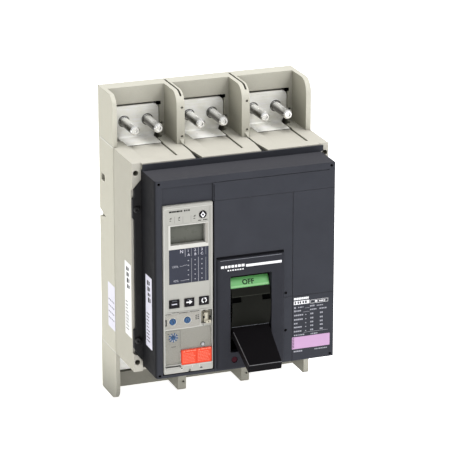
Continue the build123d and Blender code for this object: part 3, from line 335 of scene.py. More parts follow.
class Marks:
    """Thin raised shapes on one face, joined in one piece."""

    def __init__(self, name, place, material, body=CASE, lift=0.0, thick=0.07, slot=None):
        self.name, self.place, self.material, self.body = name, place, material, body
        self.lift, self.thick, self.slot = lift, thick, slot
        self.bm = bmesh.new()

    def poly(self, points):
        """A flat plate with this outline."""
        low = [self.bm.verts.new(self.place(u, v, self.lift)) for u, v in points]
        high = [self.bm.verts.new(self.place(u, v, self.lift + self.thick)) for u, v in points]
        self.bm.faces.new(low)
        self.bm.faces.new(high)
        for i in range(len(points)):
            j = (i + 1) % len(points)
            self.bm.faces.new((low[i], low[j], high[j], high[i]))
        return self

    def ring(self, low, high, low_in, high_in):
        """Skins a closed ring between its four loops of points."""
        loops, n = (low, high, high_in, low_in), len(low)
        for k in range(4):
            a, b = loops[k], loops[(k + 1) % 4]
            for i in range(n):
                j = (i + 1) % n
                self.bm.faces.new((a[i], a[j], b[j], b[i]))
        return self

    def rect(self, u0, u1, v0, v1, r=0.0, steps=4):
        if r <= 0:
            return self.poly([(u0, v0), (u1, v0), (u1, v1), (u0, v1)])
        points = []
        for cu, cv, start in ((u1 - r, v0 + r, -90), (u1 - r, v1 - r, 0), (u0 + r, v1 - r, 90),
                              (u0 + r, v0 + r, 180)):
            for i in range(steps + 1):
                a = math.radians(start + 90 * i / steps)
                points.append((cu + r * math.cos(a), cv + r * math.sin(a)))
        return self.poly(points)

    def line(self, points, width, closed=False):
        """A flat line with mitred corners."""
        n, half = len(points), width / 2
        left_side, right_side = [], []
        for i, (u, v) in enumerate(points):
            before = points[(i - 1) % n] if closed or i else None
            after = points[(i + 1) % n] if closed or i < n - 1 else None
            ways = []
            for a, b in ((before, (u, v)), ((u, v), after)):
                if a is not None and b is not None:
                    ways.append(Vector((b[0] - a[0], b[1] - a[1])).normalized())
            along = sum(ways, Vector((0, 0))).normalized()
            across = Vector((-along.y, along.x))
            reach = half / max(abs(across.dot(Vector((-ways[0].y, ways[0].x)))), 0.4)
            left_side.append((u + across.x * reach, v + across.y * reach))
            right_side.append((u - across.x * reach, v - across.y * reach))
        if not closed:
            return self.poly(left_side + right_side[::-1])
        rows = []
        for side in (left_side, right_side):
            for t in (self.lift, self.lift + self.thick):
                rows.append([self.bm.verts.new(self.place(a, b, t)) for a, b in side])
        return self.ring(*rows)

    def spoke(self, centre, r0, r1, angle, width):
        """A line that points away from the centre."""
        du, dv = math.cos(angle), math.sin(angle)
        return self.line([(centre[0] + r * du, centre[1] + r * dv) for r in (r0, r1)], width)

    def arc(self, cu, cv, r, width, start=0, end=360, steps=24):
        whole = end - start >= 360
        count = steps if whole else steps + 1
        points = [(cu + r * math.cos(math.radians(start + (end - start) * i / steps)),
                   cv + r * math.sin(math.radians(start + (end - start) * i / steps))) for i in range(count)]
        return self.line(points, width, closed=whole)

    def disc(self, cu, cv, r, steps=20):
        angles = [2 * math.pi * i / steps for i in range(steps)]
        return self.poly([(cu + r * math.cos(a), cv + r * math.sin(a)) for a in angles])

    def sheet(self, u_lines, v_lines, is_open):
        """A flat sheet on a grid of lines, with the open cells left out."""
        cells = [(i, j) for i in range(len(u_lines) - 1) for j in range(len(v_lines) - 1)
                 if not is_open((u_lines[i] + u_lines[i + 1]) / 2, (v_lines[j] + v_lines[j + 1]) / 2)]

        def at(i, j, up):
            return self.bm.verts.new(self.place(u_lines[i], v_lines[j], self.lift + up * self.thick))

        for i, j in cells:
            corners = ((i, j), (i + 1, j), (i + 1, j + 1), (i, j + 1))
            for up in (0, 1):
                self.bm.faces.new([at(*c, up) for c in corners])
            for k, beside in enumerate(((i, j - 1), (i + 1, j), (i, j + 1), (i - 1, j))):
                if beside not in cells:
                    a, b = corners[k], corners[(k + 1) % 4]
                    self.bm.faces.new((at(*a, 0), at(*b, 0), at(*b, 1), at(*a, 1)))
        return self

    def tile(self, u0, u1, v0, v1, cu, cv, r):
        """A flat rectangle with one round hole."""
        corners = [(u1, v1), (u0, v1), (u0, v0), (u1, v0)]
        angles = sorted({round(math.atan2(v - cv, u - cu), 6) for u, v in corners}
                        | {round(-math.pi + 2 * math.pi * i / 28, 6) for i in range(28)})

        def rim(a):
            du, dv = math.cos(a), math.sin(a)
            reach = min(((u1 - cu) if du > 0 else (u0 - cu)) / du if abs(du) > 1e-6 else 1e9,
                        ((v1 - cv) if dv > 0 else (v0 - cv)) / dv if abs(dv) > 1e-6 else 1e9)
            return cu + du * reach, cv + dv * reach

        rings = []
        for spot in (rim, lambda a: (cu + r * math.cos(a), cv + r * math.sin(a))):
            for up in (0, 1):
                rings.append([self.bm.verts.new(self.place(*spot(a), self.lift + up * self.thick))
                              for a in angles])
        return self.ring(*rings)

    def text(self, words, u, v, size, bold=0.0):
        """Raised letters, centred on u, v."""
        curve = bpy.data.curves.new("lettering", "FONT")
        curve.body, curve.size = words, size
        curve.align_x, curve.align_y = "CENTER", "CENTER"
        curve.extrude, curve.offset, curve.resolution_u = self.thick / 2, bold, 3
        obj = bpy.data.objects.new("lettering", curve)
        bpy.context.scene.collection.objects.link(obj)
        bpy.context.view_layer.update()
        mesh = bpy.data.meshes.new_from_object(obj.evaluated_get(bpy.context.evaluated_depsgraph_get()))
        for vert in mesh.vertices:
            x, y, z = vert.co
            vert.co = self.place(u + x, v + y, self.lift + self.thick / 2 + z)
        self.bm.from_mesh(mesh)
        bpy.data.objects.remove(obj)
        return self

    def words(self, u, v, height, lengths, gap=0.8):
        """A row of small bars in place of words."""
        for length in lengths:
            self.rect(u, u + length, v - height / 2, v + height / 2)
            u += length + gap
        return self

    def done(self):
        return add_mesh(self.name, self.bm, self.material, self.body)


def add_mesh(name, bm, material, body=CASE, smooth=False):
    """Makes the piece, with its material, and puts it on its body."""
    bmesh.ops.remove_doubles(bm, verts=bm.verts, dist=1e-5)
    bmesh.ops.recalc_face_normals(bm, faces=bm.faces)
    bmesh.ops.scale(bm, vec=(MM, MM, MM), verts=bm.verts)
    mesh = bpy.data.meshes.new(name)
    bm.to_mesh(mesh)
    bm.free()
    mesh.materials.append(MAT[material])
    if smooth:
        mesh.shade_smooth()
    obj = bpy.data.objects.new(name, mesh)
    bpy.context.scene.collection.objects.link(obj)
    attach(obj, body)
    return obj


# ---------------------------------------------------------------- stage and lights
FLOOR_Z, FLOOR_SIZE, FLOOR_GLOW = -163.6 * MM, 20.0, 0.82
SKY = 0.52
# name, place, width and power in watts
LIGHTS = (("key", (1.2, -2.1, 2.1), 1.4, 34), ("top", (0.3, 0.1, 2.4), 1.4, 36),
          ("side", (-2.6, 0.7, 1.2), 1.6, 9))


def add_stage():
    """A pale floor, an even sky and three soft lights that face the breaker."""
    cloth = surface("studio_floor", (0.92, 0.92, 0.92), 0.7, mottle=0.01, grain=0.02, grain_scale=300)
    glow = cloth.node_tree.nodes["Principled BSDF"]
    glow.inputs["Emission Color"].default_value = (1, 1, 1, 1)
    glow.inputs["Emission Strength"].default_value = FLOOR_GLOW
    bm = bmesh.new()
    bmesh.ops.create_grid(bm, x_segments=8, y_segments=8, size=FLOOR_SIZE)
    mesh = bpy.data.meshes.new("floor")
    bm.to_mesh(mesh)
    bm.free()
    mesh.materials.append(cloth)
    floor = bpy.data.objects.new("floor", mesh)
    floor.location.z = FLOOR_Z
    bpy.context.scene.collection.objects.link(floor)

    world = bpy.data.worlds.new("studio")
    world.use_nodes = True
    background = world.node_tree.nodes["Background"]
    background.inputs["Color"].default_value = (1.0, 1.0, 1.0, 1)
    background.inputs["Strength"].default_value = SKY
    bpy.context.scene.world = world
    for name, place, size, power in LIGHTS:
        light = bpy.data.lights.new(name, "AREA")
        light.shape, light.size, light.energy = "DISK", size, power
        lamp = bpy.data.objects.new(name, light)
        lamp.location = place
        lamp.visible_glossy = name != "top"
        lamp.rotation_euler = (-Vector(place)).to_track_quat("-Z", "Y").to_euler()
        bpy.context.scene.collection.objects.link(lamp)
    bpy.context.scene.view_settings.view_transform = "Standard"


# ---------------------------------------------------------------- trip unit
# levels of its faces, and places on them (right, up)
UNIT_FACE, LOWER_FACE, PANEL_FACE, KEY_FACE = -148.0, -146.2, -147.9, -149.3
UNIT_EDGE, PLUG_FACE, LCD_FACE = -148.6, -148.4, -143.1
DIAL_LEFT, DIAL_RIGHT, DIAL_LOWER = (-77.5, -45.0), (-62.0, -45.0), (-77.0, -62.0)
RIGHT_KEY, PLUG_SCREW, SEAL_PIN = (-45.3, -25.1), (-46.0, -72.4), (-69.0, -94.6)


def trip_unit_head():
    """The upper part of the trip unit: bars in place of its name, the display, the test button's mark."""
    face = front(UNIT_FACE)
    title = Marks("unit_title_bars", face, "black")
    title.words(-81.2, 70.4, 1.7, (2.2, 1.4, 1.8, 1.0, 2.6, 1.2, 1.5), 0.35)
    title.words(-65.6, 70.5, 1.8, (1.6, 1.3, 1.5), 0.75)
    for u, v in ((-79.8, 63.9), (-71.0, 64.0), (-54.8, 64.1)):
        title.poly([(u - 1.2, v - 0.7), (u + 0.9, v - 0.9), (u + 1.2, v + 0.9)])
    title.line([(-80.8, 61.2), (-79.9, 61.5), (-79.2, 60.9)], 0.5)
    title.line([(-71.9, 61.3), (-71.2, 61.6), (-70.5, 60.9), (-69.8, 61.2)], 0.5)
    title.line([(-55.7, 61.0), (-54.9, 61.6), (-53.9, 61.0)], 0.6)
    title.words(-50.8, 58.7, 0.9, (1.5, 1.1), 0.3).words(-45.6, 58.9, 0.9, (1.2, 1.6, 0.9), 0.3)
    title.done()
    lines = Marks("unit_separators", face, "unit_mark")
    for u, top in ((-75.5, 65.4), (-66.8, 64.6), (-58.4, 64.8)):
        lines.rect(u - 0.18, u + 0.18, 58.3, top)
    lines.rect(-43.1, -42.5, 34.6, 55.8).done()
    rim = Marks("lcd_rim", face, "unit_pale", thick=0.35)
    rim.sheet([-82.2, -80.1, -43.4, -40.3], [31.3, 35.5, 55.5, 56.5],
              lambda u, v: -80 < u < -43.5 and 35.6 < v < 55.4)
    rim.done()
    Marks("lcd_side", face, "unit_mid", lift=0.36).rect(-43.3, -40.7, 34.4, 55.6).done()
    screen = Marks("lcd_segments", front(LCD_FACE), "segment", thick=0.04)
    screen.line([(-79.0, 36.6), (-44.4, 36.6), (-44.4, 54.4), (-79.0, 54.4)], 0.25, closed=True)
    for i in range(5):
        u = 6.6 * i
        screen.rect(-77.5 + u, -72.6 + u, 51.2, 52.6).rect(-77.5 + u, -72.6 + u, 38.4, 39.2)
    screen.done()
    cross = Marks("test_symbol", front(KEY_FACE), "white", body="test_button_body", lift=0.01)
    cross.line([(-48.1, 64.7), (-46.3, 67.0), (-44.5, 64.6), (-46.3, 62.2)], 1.0, closed=True).done()


def bargraph():
    """The phases, the scale and the lamps of the bar graph."""
    face = front(PANEL_FACE)
    marks = Marks("bargraph_print", face, "paper_cool")
    marks.text("N", -68.3, 28.0, 4.6, 0.0)
    for word, u, v in (("1", -61.4, 28.2), ("2", -54.2, 28.4), ("3", -47.0, 28.4)):
        marks.text(word, u, v, 4.0, -0.02)
    for word, u in (("A", -60.9), ("B", -53.9), ("C", -47.0)):
        marks.text(word, u, 24.0, 3.8, 0.0)
    marks.done()
    marks = Marks("bargraph_scale", face, "blued")
    marks.text("100%", -75.3, 12.9, 3.3, 0.0).text("40%", -74.4, -2.0, 3.3, 0.0)
    for u, v, way in ((-70.3, 13.1, 0.3), (-69.6, -2.2, 0.2)):
        marks.line([(u, v), (u + 3.0, v - 0.1), (u + 4.4, v + way * 2), (u + 8.0, v + way * 2)], 0.35)
    marks.rect(-64.8, -64.4, 22.6, 31.0).rect(-50.9, -50.5, 23.0, 31.0).rect(-50.9, -50.5, -4.9, 20.8).done()
    fine = Marks("bargraph_lines", face, "grey_print_and_highlight")
    fine.rect(-58.2, -57.7, -4.9, 20.4).rect(-58.2, -57.8, 22.6, 31.0).rect(-43.1, -42.7, 22.6, 31.0)
    fine.rect(-43.2, -42.7, -4.9, 19.9).done()
    lamps = Marks("bargraph_lamps", face, "blued", lift=0.02, thick=0.12)
    for u in (-61.3, -54.2, -47.1):
        for i in range(5):
            v = 18.2 - 5.0 * i
            lamps.rect(u - 0.6, u + 0.6, v - 0.45, v + 0.45)
    lamps.done()


def key_symbols():
    """Printed symbols and a faint painted highlight on the three keys."""
    bar = Marks("key_left_symbol", front(KEY_FACE), "paper_cool", body="key_left_body", lift=0.01)
    bar.rect(-79.4, -73.9, -26.1, -25.1).done()
    arrow = Marks("key_middle_symbol", front(KEY_FACE), "white", body="key_middle_body", lift=0.01)
    arrow.poly([(-64.0, -25.8), (-60.8, -25.8), (-60.8, -27.4), (-57.7, -25.1), (-60.8, -22.9),
                (-60.8, -24.5), (-64.0, -24.5)]).done()
    turn = Marks("key_right_symbol", front(KEY_FACE), "white", body="key_right_body", lift=0.01)

    def around(r, angle):
        return RIGHT_KEY[0] + r * math.cos(angle), RIGHT_KEY[1] + r * math.sin(angle)

    for start in (-60, 120):
        turn.arc(*RIGHT_KEY, 2.3, 0.95, start, start + 118, 10)
        wing = math.radians(start + 112)
        turn.poly([around(2.4, math.radians(start + 132) + 0.25), around(3.6, wing), around(1.2, wing)])
    turn.done()
    for name, u0, u1 in (("left", -81.5, -71.0), ("middle", -65.5, -55.5), ("right", -50.0, -40.0)):
        glint = Marks(f"key_{name}_glint", front(KEY_FACE), "grey_print_and_highlight", body=f"key_{name}_body", lift=0.01)
        mid = (u0 + u1) / 2
        glint.line([(mid - 2.4, -22.7), (mid - 1.2, -22.2), (mid + 1.2, -22.2), (mid + 2.4, -22.7)], 0.35)
        glint.done()


def lower_field():
    """The two toned fields round the dials, their scales, painted highlights on the edges of the unit's lower
    part, its gaps, and painted shadows round the test connector.
    """
    face = front(LOWER_FACE)
    band = Marks("dial_band", face, "unit_mid")
    for dial, u0, u1 in ((DIAL_LEFT, -83.2, -69.5), (DIAL_RIGHT, -69.5, -54.6)):
        band.tile(u0, u1, -52.6, -36.2, *dial, 3.7)
    band.rect(-54.6, -48.8, -52.6, -36.2).rect(-86.2, -83.2, -52.6, -36.2).done()
    low = Marks("lower_field", face, "unit_low")
    low.tile(-83.6, -69.9, -72.6, -55.6, *DIAL_LOWER, 2.8)
    low.sheet([-86.2, -83.6, -69.9, -69.4, -37.0], [-91.5, -75.6, -72.6, -69.6, -55.6, -53.2],
              lambda u, v: (-83.6 < u < -69.9 and -72.6 < v < -55.6) or (u > -69.4 and v < -69.6))
    low.tile(-69.4, -37.0, -75.6, -69.6, *PLUG_SCREW, 1.9).done()
    marks = Marks("field_marks", face, "black", lift=0.08)
    marks.rect(-85.3, -83.7, -49.0, -42.2)
    for i in range(3):
        v = -41.1 - 1.9 * i
        marks.rect(-53.5, -51.8, v - 0.5, v + 0.4).rect(-51.2, -49.7, v - 0.4, v + 0.5)
    marks.words(-79.0, -71.8, 0.7, (1.4, 0.9, 1.7), 0.3)
    for i in range(10):
        marks.spoke(DIAL_LOWER, 3.6, 5.3, math.radians(29 * i - 40), 0.45)
    marks.poly([(-83.2, -58.0), (-81.6, -58.0), (-82.4, -56.8)])
    marks.line([(-85.0, -54.6), (-69.8, -54.6), (-69.8, -73.4)], 0.25).done()
    pale = Marks("dial_rings", face, "unit_pale", lift=0.08)
    for dial, r in ((DIAL_LEFT, 4.1), (DIAL_RIGHT, 4.1), (DIAL_LOWER, 3.1)):
        pale.arc(*dial, r, 0.4)
    pale.rect(-69.9, -69.2, -91.4, -79.0)
    pale.rect(-86.0, -54.0, -53.5, -52.9).rect(-54.0, -45.0, -53.2, -52.5).done()
    rays = Marks("dial_lower_rays", face, "paper_cool", lift=0.1)
    blue = Marks("dial_lower_scale", face, "blue", lift=0.09)
    for i in range(9):
        rays.spoke(DIAL_LOWER, 2.7, 4.4, math.radians(40 * i + 12), 0.35)
        blue.spoke(DIAL_LOWER, 2.8, 4.9, math.radians(40 * i + 32), 1.3)
    rays.done()
    blue.done()
    # painted highlights on the unit's edges and painted reflections on its clear cover
    strip = Marks("unit_edge_highlights", front(UNIT_EDGE), "unit_pale", lift=0.01)
    strip.rect(-87.1, -86.5, -96.0, 73.0).rect(-86.5, -36.5, 73.4, 73.9)
    strip.rect(-69.9, -69.3, -97.0, -95.9).rect(-57.9, -57.3, -95.0, -92.7)
    strip.rect(-50.6, -50.0, -95.5, -92.7).done()
    guard = Marks("plug_screw_ring", face, "black", lift=0.08)
    guard.arc(*PLUG_SCREW, 2.25, 0.45, steps=16).done()
    seam = Marks("unit_seam", front(UNIT_EDGE), "black")
    for u0, u1, v in ((-85.8, -80.0, -35.9), (-79.0, -75.2, -34.9), (-74.4, -71.8, -35.0),
                      (-71.8, -62.0, -35.7), (-60.4, -50.0, -35.5)):
        seam.rect(u0, u1, v - 0.22, v + 0.22)
    seam.done()
    dark = Marks("connector_shadows", front(UNIT_EDGE), "black", lift=0.01)
    dark.rect(-46.6, -46.0, -52.4, -35.6).rect(-46.0, -43.6, -36.4, -35.6).rect(-41.0, -37.2, -36.6, -35.8)
    dark.rect(-38.0, -37.2, -47.6, -36.6).rect(-46.0, -44.4, -44.4, -42.0)
    dark.rect(-39.8, -38.0, -44.6, -42.2).done()
    pin = Marks("seal_marks", front(UNIT_EDGE), "black", lift=0.02)
    pin.disc(*SEAL_PIN, 0.75, 12).rect(-49.6, -47.0, -96.9, -96.2).rect(-49.2, -47.6, -96.1, -95.6)
    pin.done()
    # painted highlight along the lower lip
    lip = Marks("lower_lip_highlight", front(UNIT_EDGE), "unit_pale")
    lip.rect(-86.9, -71.4, -93.5, -92.9).rect(-67.0, -54.4, -92.6, -91.8)
    lip.rect(-52.8, -36.0, -92.4, -91.7).done()
    ring = Marks("seal_ring", front(UNIT_EDGE), "unit_pale", thick=0.5)
    ring.arc(*SEAL_PIN, 1.25, 0.6, steps=14).done()


def plug_label():
    """Plain triangles and rows of bars in the two halves of the plug's label, and the line between them."""
    marks = Marks("plug_marks", front(PLUG_FACE), "orange_mark")
    draw = random.Random(7)
    for u0, u1, top in ((-68.2, -54.2, -77.2), (-52.4, -38.4, -77.0)):
        marks.poly([(u0 + 0.8, top - 0.9), (u0 + 3.2, top - 0.9), (u0 + 2.0, top + 0.9)])
        marks.words(u0 + 4.2, top, 0.9, (3.6, 2.1, 3.0))
        for row in range(7):
            v, u = top - 2.6 - 1.55 * row, u0 + 0.6
            while u < u1 - 2.2:
                length = draw.uniform(0.8, 2.6)
                marks.rect(u, min(u + length, u1 - 0.3), v - 0.22, v + 0.22)
                u += length + 0.45
    marks.done()
    split = Marks("plug_split", front(PLUG_FACE), "orange", lift=-0.4, thick=0.1)
    split.rect(-53.3, -52.9, -91.0, -76.3).done()


# ---------------------------------------------------------------- cover, handle and labels
PLATE_FACE, SURROUND_FACE = -147.0, -149.6


def rating_plate():
    """Bars in place of the names, the table and the small print, and the blank coloured label."""
    face = front(PLATE_FACE)
    plate = Marks("plate_print", face, "white")
    plate.words(51.8, -37.4, 2.3, (2.4, 1.9, 3.0, 1.9, 1.7, 1.9, 1.4), 0.28)
    plate.rect(51.7, 68.5, -43.6, -42.9).rect(51.7, 68.5, -40.4, -39.8)
    for u, w in ((51.7, 0.9), (54.0, 1.6), (57.2, 0.8), (59.6, 1.4), (62.8, 0.9), (65.6, 2.9)):
        plate.rect(u, u + w, -42.9, -40.4)
    plate.line([(69.8, -43.9), (88.7, -43.9), (88.7, -40.5), (69.8, -40.5)], 0.28, closed=True)
    plate.rect(74.6, 77.2, -43.0, -41.4).words(79.2, -42.3, 1.1, (1.6, 2.4, 1.6), 0.5)
    plate.done()
    fine = Marks("plate_fine_print", face, "blued")
    fine.words(52.0, -46.9, 1.7, (1.8,)).words(56.4, -46.8, 1.1, (1.2, 1.9, 0.8))
    fine.rect(63.9, 68.8, -48.3, -48.05)
    fine.words(69.3, -46.7, 1.6, (1.4, 1.2, 1.6), 0.3).words(76.6, -47.0, 1.0, (1.4, 1.1, 1.8, 1.2), 0.4)
    fine.words(52.0, -50.5, 1.7, (1.8,)).words(54.4, -50.5, 1.3, (1.0, 1.4, 1.8), 0.4)
    fine.rect(61.8, 68.8, -52.4, -52.15)
    fine.words(69.3, -50.6, 1.3, (1.6, 1.2, 1.5, 1.1), 0.5).words(79.6, -50.6, 1.3, (1.8, 1.4, 1.2, 1.7), 0.5)
    for v, lengths in ((-55.1, (1.3, 1.7, 1.5, 1.9, 1.6)), (-59.7, (1.5, 1.2, 1.9, 1.4, 1.6)),
                       (-63.9, (1.5, 1.8)), (-67.9, (2.0, 1.5, 1.9, 1.6)), (-72.4, (1.6, 1.9, 1.4, 1.8))):
        fine.words(52.0, v, 1.4, lengths, 0.45).words(64.2, v - 0.2, 0.9, (1.1,))
        fine.words(69.8, v + 0.1, 1.6, (1.2, 1.4), 0.45).words(80.2, v, 1.6, (1.2, 1.3), 0.45)
    fine.rect(62.5, 88.6, -74.4, -74.15)
    fine.words(52.0, -76.5, 1.3, (1.2, 1.6, 0.7, 0.7, 1.6, 1.9), 0.7)
    fine.words(70.2, -76.8, 1.3, (0.8, 1.4, 2.2, 1.2), 0.6)
    fine.words(51.9, -94.0, 1.4, (1.5, 1.2, 1.9, 1.4, 1.6), 0.4)
    fine.words(74.6, -93.8, 1.1, (1.2, 1.2, 0.7, 1.5, 1.7, 1.2, 1.6, 1.0), 0.5).done()
    Marks("rating_label", face, "lilac", thick=0.12).rect(49.9, 91.0, -91.3, -78.4, 0.4).done()
    edge = Marks("rating_label_marks", face, "black", lift=0.12)
    for i in range(7):
        v = -79.9 - 1.6 * i
        edge.rect(50.3, 51.1, v - 0.45, v + 0.35).rect(51.4, 52.1, v - 0.3, v + 0.5)
    edge.done()


def surround_stripe():
    """The white stripe over the handle, bars in place of the name beside it, and a painted highlight on the
    upper edge.
    """
    face = front(SURROUND_FACE)
    stripe = Marks("surround_stripe", face, "white")
    stripe.rect(-1.0, 37.2, 4.8, 7.4).words(-27.6, 6.9, 2.6, (3.2, 2.6, 2.4, 3.0, 2.2, 2.8, 3.0), 0.95)
    stripe.words(-20.6, 2.9, 1.3, (1.6, 1.2, 1.7, 1.5, 1.3, 1.8, 1.4), 1.1).done()
    Marks("surround_highlight", face, "grey_print_and_highlight").rect(-28.2, 37.0, 13.5, 13.9).done()


def handle_flags():
    """Words, painted sheen and highlights, and painted shade in the pockets of the drum-shaped shutter that
    turns with the handle.
    """
    pivot_y, pivot_z, radius = -102.8, -38.8, 48.8
    drum_left = -15.6

    def drum(angle):
        def place(u, v, t):
            a, r = math.radians(angle) + v / radius, radius + t
            return u, pivot_y - r * math.cos(a), pivot_z + r * math.sin(a)
        return place

    def strip(name, angle, material, count, pitch, width, low, high, thick=0.03, start=drum_left):
        marks = Marks(name, drum(angle), material, body=HANDLE, thick=thick)
        for i in range(count):
            marks.rect(start + pitch * i, start + width + pitch * i, low, high)
        marks.done()

    Marks("off_word", drum(31.5), "black", body=HANDLE, thick=0.06).text("OFF", 3.2, 0.0, 7.2, 0.22).done()
    # painted shine on the green flag
    strip("off_flag_shine", 27.3, "green_shine", 12, 3.35, 3.2, -0.9, 0.9)
    # painted shade at the floors of the two pockets
    dark = Marks("shutter_pocket_shade", drum(11.25), "painted_shade", body=HANDLE, lift=-1.38, thick=0.1)
    dark.rect(-15.9, -6.2, -2.7, 2.7).rect(16.2, 25.0, -2.7, 2.7).done()
    # painted sheen on the upper curve of the drum
    strip("painted_shutter_sheen", 20.1, "painted_shutter_sheen", 12, 3.35, 3.35, -4.4, 4.3)
    # painted highlight where the handle leaves the shutter
    strip("shutter_slot_highlight", -24.4, "grey_print_and_highlight", 8, 4.95, 4.95, -0.2, 0.2, thick=0.05, start=-15.2)
    Marks("on_word", drum(-85.0), "white", body=HANDLE, thick=0.06).text("ON", 4.6, 0.0, 7.2, 0.06).done()


def handle_edges():
    """Painted highlights on the edges of the toggle handle, in the off position: along its tip and its left
    flank.
    """
    inset, width, thick = 0.40, 0.75, 0.06
    top_out, tip_out = Vector((0, -0.503, 0.865)), Vector((0, -0.970, -0.243))
    left_out = Vector((-1, -0.056, 0))
    tip_edge = Vector((-13.5, -191.15, -84.2)), Vector((21.7, -191.15, -84.2))
    left_edge = Vector((-15.3, -152.0, -62.1)), Vector((-13.2, -189.6, -84.0))
    bm = bmesh.new()
    for (a, b), beside in ((tip_edge, tip_out), (left_edge, left_out)):
        out, across = (top_out + beside).normalized(), (top_out - beside).normalized()
        rows = []
        for end in (a, b):
            rows.append([bm.verts.new(end - out * inset + across * (side * width / 2) + out * (up * thick))
                         for side, up in ((-1, 0), (1, 0), (1, 1), (-1, 1))])
        for i in range(4):
            j = (i + 1) % 4
            bm.faces.new((rows[0][i], rows[0][j], rows[1][j], rows[1][i]))
        for row in rows:
            bm.faces.new(row)
    add_mesh("handle_edge_highlight", bm, "handle_edge", HANDLE)


def side_labels():
    """Paper labels on the left side, with blocks and bars in place of their print."""
    draw = random.Random(11)
    for name, x, u0, u1, v0, v1, paper in (
            ("case_label_rear", -105.0, 24.6, 46.8, -87.2, -39.0, "paper_cool"),
            ("case_label_front", -104.7, 79.1, 99.0, -76.2, 2.0, "paper"),
            ("cover_label", -95.3, 116.4, 135.0, -77.4, -1.6, "paper_cool")):
        face = side_face(x, -1)
        Marks(name, face, paper, thick=0.1).rect(u0, u1, v0, v1, 0.8).done()
        ink = Marks(name + "_marks", face, "black", lift=0.1)
        if name == "case_label_rear":
            for row in range(4):
                v = v0 + 30 - 6.6 * row
                for k in range(4):
                    u = u0 + 4.8 * k
                    ink.rect(u + 2.2, u + 4.6, v - 0.6, v + 0.6)
        else:
            # a column of larger marks above, fine rows of bars below
            v = v1 - 5
            for k in range(4):
                size, u = draw.uniform(3.2, 5.2), u0 + 0.8 * k
                ink.rect(u + 5, u + 9, v - size, v).rect(u + 10.4, u + 12.6, v - size * 0.8, v)
                v -= size + 1.6
            for k in range(9):
                v, u = v0 + 36 - 3.6 * k, u0 + 2.5
                ink.rect(u, u + draw.uniform(3.0, 8.0) + k * 0.7, v - 0.9, v)
        ink.done()


# ---------------------------------------------------------------- terminals
def bolt_threads():
    """Rolled threads on the terminal bolts."""
    pitch, steps, turns, root, crest = 1.5, 24, 22, 4.83, 4.88
    tip_y = -49.7
    profile = ((root, -0.62), (crest, -0.12), (crest, 0.12), (root, 0.62))
    for end, sign in ENDS:
        bm = bmesh.new()
        for pole in POLES:
            for bolt in BOLTS:
                rows = []
                for i in range(turns * steps + 1):
                    a, y = 2 * math.pi * i / steps, tip_y + pitch * i / steps
                    rows.append([bm.verts.new((pole + bolt + r * math.cos(a), y + dy,
                                               sign * BOLT_Z + r * math.sin(a))) for r, dy in profile])
                for a, b in zip(rows, rows[1:]):
                    for k in range(4):
                        bm.faces.new((a[k], a[(k + 1) % 4], b[(k + 1) % 4], b[k]))
                bm.faces.new(rows[0])
                bm.faces.new(rows[-1])
        add_mesh(f"{end}_bolt_threads", bm, "bolt", smooth=True)


def bolt_hole_shade():
    """Painted shade in the gaps round the bolts where they leave the pads."""
    pad_face = -15.0
    for end, sign in ENDS:
        rim = Marks(f"{end}_bolt_hole_shade", front(pad_face), "black", thick=0.05)
        for pole in POLES:
            for bolt in BOLTS:
                rim.arc(pole + bolt, sign * BOLT_Z, 5.65, 0.9, steps=28)
        rim.done()


def window_corners():
    """Painted shade in one corner of each pad window."""
    wall_face, low, high = -18.0, 141.9, 145.4
    for end, sign in ENDS:
        corner = Marks(f"{end}_window_corners", front(wall_face), "painted_shade", thick=0.06)
        for pole in POLES:
            corner.rect(pole + 21.2, pole + 26.0, *sorted((sign * low, sign * high)))
        corner.done()


def foot_gap_shade():
    """Fillers between the terminal feet and the shallow panels, with painted shade in the gap along each
    foot.
    """
    panel_level = 108.62
    for end, sign in ENDS:
        face = end_face(sign, panel_level)
        filler = Marks(f"{end}_foot_fillers", face, "cream_front", lift=-4.0, thick=4.06)
        gap = Marks(f"{end}_foot_gap_shade", face, "painted_shade", lift=-4.0, thick=4.0)
        for pole in POLES:
            filler.rect(pole - 18.5, pole + 17.05, -46.9, -43.2)
            gap.rect(pole - 18.5, pole + 18.5, -43.15, -41.4)
        filler.done()
        gap.done()


# ---------------------------------------------------------------- case
def joint_shade_strips():
    """Painted shade: dark strips at the bottom of the open joints between the poles."""
    slot_floor, half, wide = 104.0, 0.97, 3.6
    for end, sign in ENDS:
        strip = Marks(f"{end}_joint_shade_strips", end_face(sign, slot_floor), "frame", thick=3.6)
        for x in (-35.0, 35.0):
            strip.poly([(x - half, -47.2), (x + half, -47.2), (x + half, -82), (x + wide, -106.8),
                        (x - wide, -106.8), (x - half, -82)])
        strip.done()


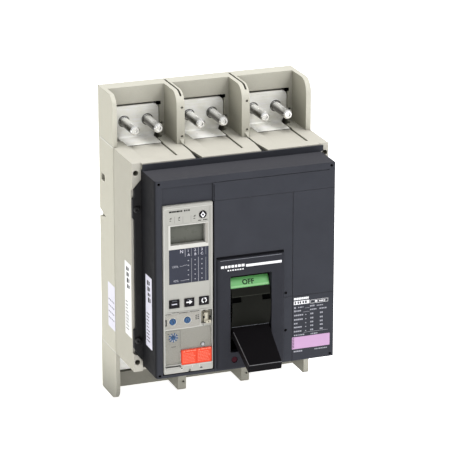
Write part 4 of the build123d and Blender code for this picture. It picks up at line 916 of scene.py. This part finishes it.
def panel_edges():
    """Painted highlights on the edges of the shallow panels on both ends of the case."""
    panel_floor = 107.9
    for end, sign in ENDS:
        edge = Marks(f"{end}_panel_edges", end_face(sign, panel_floor), "cream_highlight", thick=0.12)
        for pole in POLES:
            edge.rect(pole - 18.7, pole - 18.05, -91.9, -47.2).rect(pole - 18.05, pole + 16.8, -92.65, -92.05)
        edge.done()


def case_seams():
    """Painted highlight lines and dark joint lines on the left and right of the case, where the terminal
    shrouds clip on.
    """
    for name, way in (("left", -1), ("right", 1)):
        face = side_face(way * HALF_WIDTH, way)
        # lines: painted highlights along the step of the seam; gaps: the dark joint beside them
        for kind, material, level, half, thick in (("lines", "cream_highlight", 110.0, 0.35, 0.12),
                                                   ("gaps", "unit_mark", 110.7, 0.2, 0.05)):
            seam = Marks(f"{name}_shroud_{kind}", face, material, thick=thick)
            for v in (-level, level):
                seam.rect(1.5, 46.6, v - half, v + half)
            seam.done()


def back_marks():
    """Moulding marks and ribs on the mounting face."""
    ribs = Marks("back_ribs", back, "cream", thick=0.5)
    for x in POLES:
        ribs.line([(x - 24, -78), (x + 24, -78), (x + 24, 78), (x - 24, 78)], 1.6, closed=True)
        for v in (-40, 0, 40):
            ribs.rect(x - 23.2, x + 23.2, v - 0.7, v + 0.7)
    for x in (-35.0, 35.0):
        for z in (-87.5, 87.5):
            ribs.arc(x, z, 7.5, 1.4)
    ribs.done()
    dates = Marks("back_date_stamp", back, "unit_mark", thick=0.3)
    height, ring, half = 57.0, 4.0, 0.3
    for cu in (-76.0, -60.0):
        dates.arc(cu, height, 5.2, 0.4)
        for i in range(12):
            a = math.radians(30 * i)
            u, v = cu + ring * math.cos(a), height + ring * math.sin(a)
            dates.rect(u - half, u + half, v - half, v + half)
        dates.poly([(cu - 0.4, 55.0), (cu + 0.4, 55.0), (cu + 0.4, 58.0), (cu + 1.0, 58.0), (cu, 59.6),
                    (cu - 1.0, 58.0), (cu - 0.4, 58.0)])
    dates.done()


add_camera()
dress_cad_nodes()
for build in (trip_unit_head, bargraph, key_symbols, lower_field, plug_label, rating_plate, surround_stripe,
              handle_flags, handle_edges, side_labels, bolt_threads, bolt_hole_shade, window_corners,
              joint_shade_strips, foot_gap_shade, panel_edges, case_seams, back_marks, add_stage):
    build()
